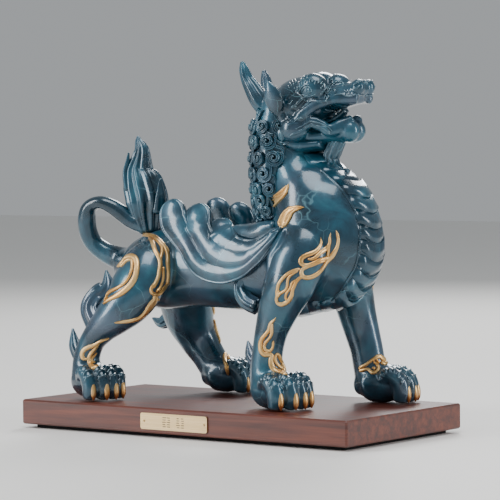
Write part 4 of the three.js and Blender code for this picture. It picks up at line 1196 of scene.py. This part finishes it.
# The name plate
# A pale brass plate with eased corners, brushed along its length and held by two brass pins. Two groups
# of short strokes, engraved and filled dark, stand where an inscription would be; they are no letters.
BRUSH_STRETCH = (12.0, 2400.0, 2400.0)
brass, tree, shader, place = surface("brass_brushed")
drawn = node(tree, "ShaderNodeMapping", {}, {"Vector": place, "Scale": BRUSH_STRETCH})
brushing = node(tree, "ShaderNodeTexNoise", {}, {"Vector": drawn, "Scale": 1.0, "Detail": 3.0})
colour = node(tree, "ShaderNodeValToRGB", {}, {"Fac": brushing}, stops=((0.3, "#d3b481"), (0.7, "#ebd0a2")))
bump = node(tree, "ShaderNodeBump", {}, {"Height": brushing, "Strength": 0.2, "Distance": 0.0002})
rough = node(tree, "ShaderNodeMath", SCALED, {0: brushing, 1: 0.25, 2: 0.22})
feed(tree, shader, {"Base Color": colour, "Normal": bump, "Roughness": rough, "Metallic": 1.0})
for name in ("name_plate", "plate_pin_left", "plate_pin_right"):
    for slot in frame["nodes"][name].material_slots:
        slot.material = brass
STROKE_GROUPS = (-0.0085, 0.0085)
STROKE_ROWS, STROKE_PITCH, STROKE_HIGH, STROKE_PROUD = 5, 0.0022, 0.0007, 0.00012
STROKES_IN_ROW, STROKE_SHORT, STROKE_LONG, STROKE_APART, STROKE_STRAY = 2, 0.0025, 0.0045, 0.0056, 0.0004
SPECKS = 900.0
fill, tree, shader, place = surface("engraving_filled_brown")
tone = node(tree, "ShaderNodeTexNoise", {}, {"Vector": place, "Scale": SPECKS, "Detail": 2.0})
colour = node(tree, "ShaderNodeValToRGB", {}, {"Fac": tone}, stops=((0.35, "#2b1a10"), (0.7, "#4a2f1c")))
feed(tree, shader, {"Base Color": colour, "Roughness": 0.6})
plate_low, plate_high = (Vector(corner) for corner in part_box("name_plate"))
plate_middle = (plate_low + plate_high) / 2
strokes = bmesh.new()
for group in STROKE_GROUPS:
    for row in range(STROKE_ROWS):
        up = (row - (STROKE_ROWS - 1) / 2) * STROKE_PITCH
        for k in range(STROKES_IN_ROW):
            long = chance.uniform(STROKE_SHORT, STROKE_LONG)
            aside = (k - 0.5) * STROKE_APART + chance.uniform(-STROKE_STRAY, STROKE_STRAY)
            middle = Vector((plate_middle.x + group + aside, plate_low.y, plate_middle.z + up))
            size = Vector((long, 2 * STROKE_PROUD, STROKE_HIGH))
            bmesh.ops.create_cube(strokes, size=1.0, matrix=Matrix.LocRotScale(middle, None, size))
mesh = bpy.data.meshes.new("plate_strokes")
strokes.to_mesh(mesh)
strokes.free()
mesh.materials.append(fill)
strokes_piece = linked("plate_strokes", mesh)
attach(strokes_piece, "root")

# Floor and light
# A plain pale floor, soft tall lights on the left and right, one above and one behind, and a pale sky.
FLOOR_HALF = 6.0
# Each light: its place, width, height and power.
LIGHTS = {"left": ((-1.5, -1.7, 0.9), 0.5, 1.6, 34), "right": ((2.3, 0.5, 0.8), 0.35, 1.5, 26),
          "top": ((0.2, -0.6, 2.0), 1.2, 1.0, 26), "back": ((-0.8, 1.9, 1.4), 0.8, 1.0, 30)}
LIGHTS_AIM, SKY_STRENGTH = Vector((0, 0, 0.2)), 0.5
ground = bmesh.new()
bmesh.ops.create_grid(ground, x_segments=1, y_segments=1, size=FLOOR_HALF)
mesh = bpy.data.meshes.new("floor")
ground.to_mesh(mesh)
ground.free()
paint, tree, shader, place = surface("pale_floor")
feed(tree, shader, {"Base Color": linear("#eeedea"), "Roughness": 0.6})
mesh.materials.append(paint)
linked("floor", mesh)
for name, (place, width, height, power) in LIGHTS.items():
    data = bpy.data.lights.new(name, "AREA")
    data.shape = "RECTANGLE"
    data.size, data.size_y = width, height
    data.energy = power
    lamp = bpy.data.objects.new(name, data)
    aim = (LIGHTS_AIM - Vector(place)).to_track_quat("-Z", "Y")
    lamp.matrix_world = Matrix.Translation(place) @ aim.to_matrix().to_4x4()
    bpy.context.scene.collection.objects.link(lamp)
world = bpy.data.worlds.new("studio")
world.use_nodes = True
feed(world.node_tree, world.node_tree.nodes["Background"],
     {"Color": linear("#dfe3e6"), "Strength": SKY_STRENGTH})
bpy.context.scene.world = world
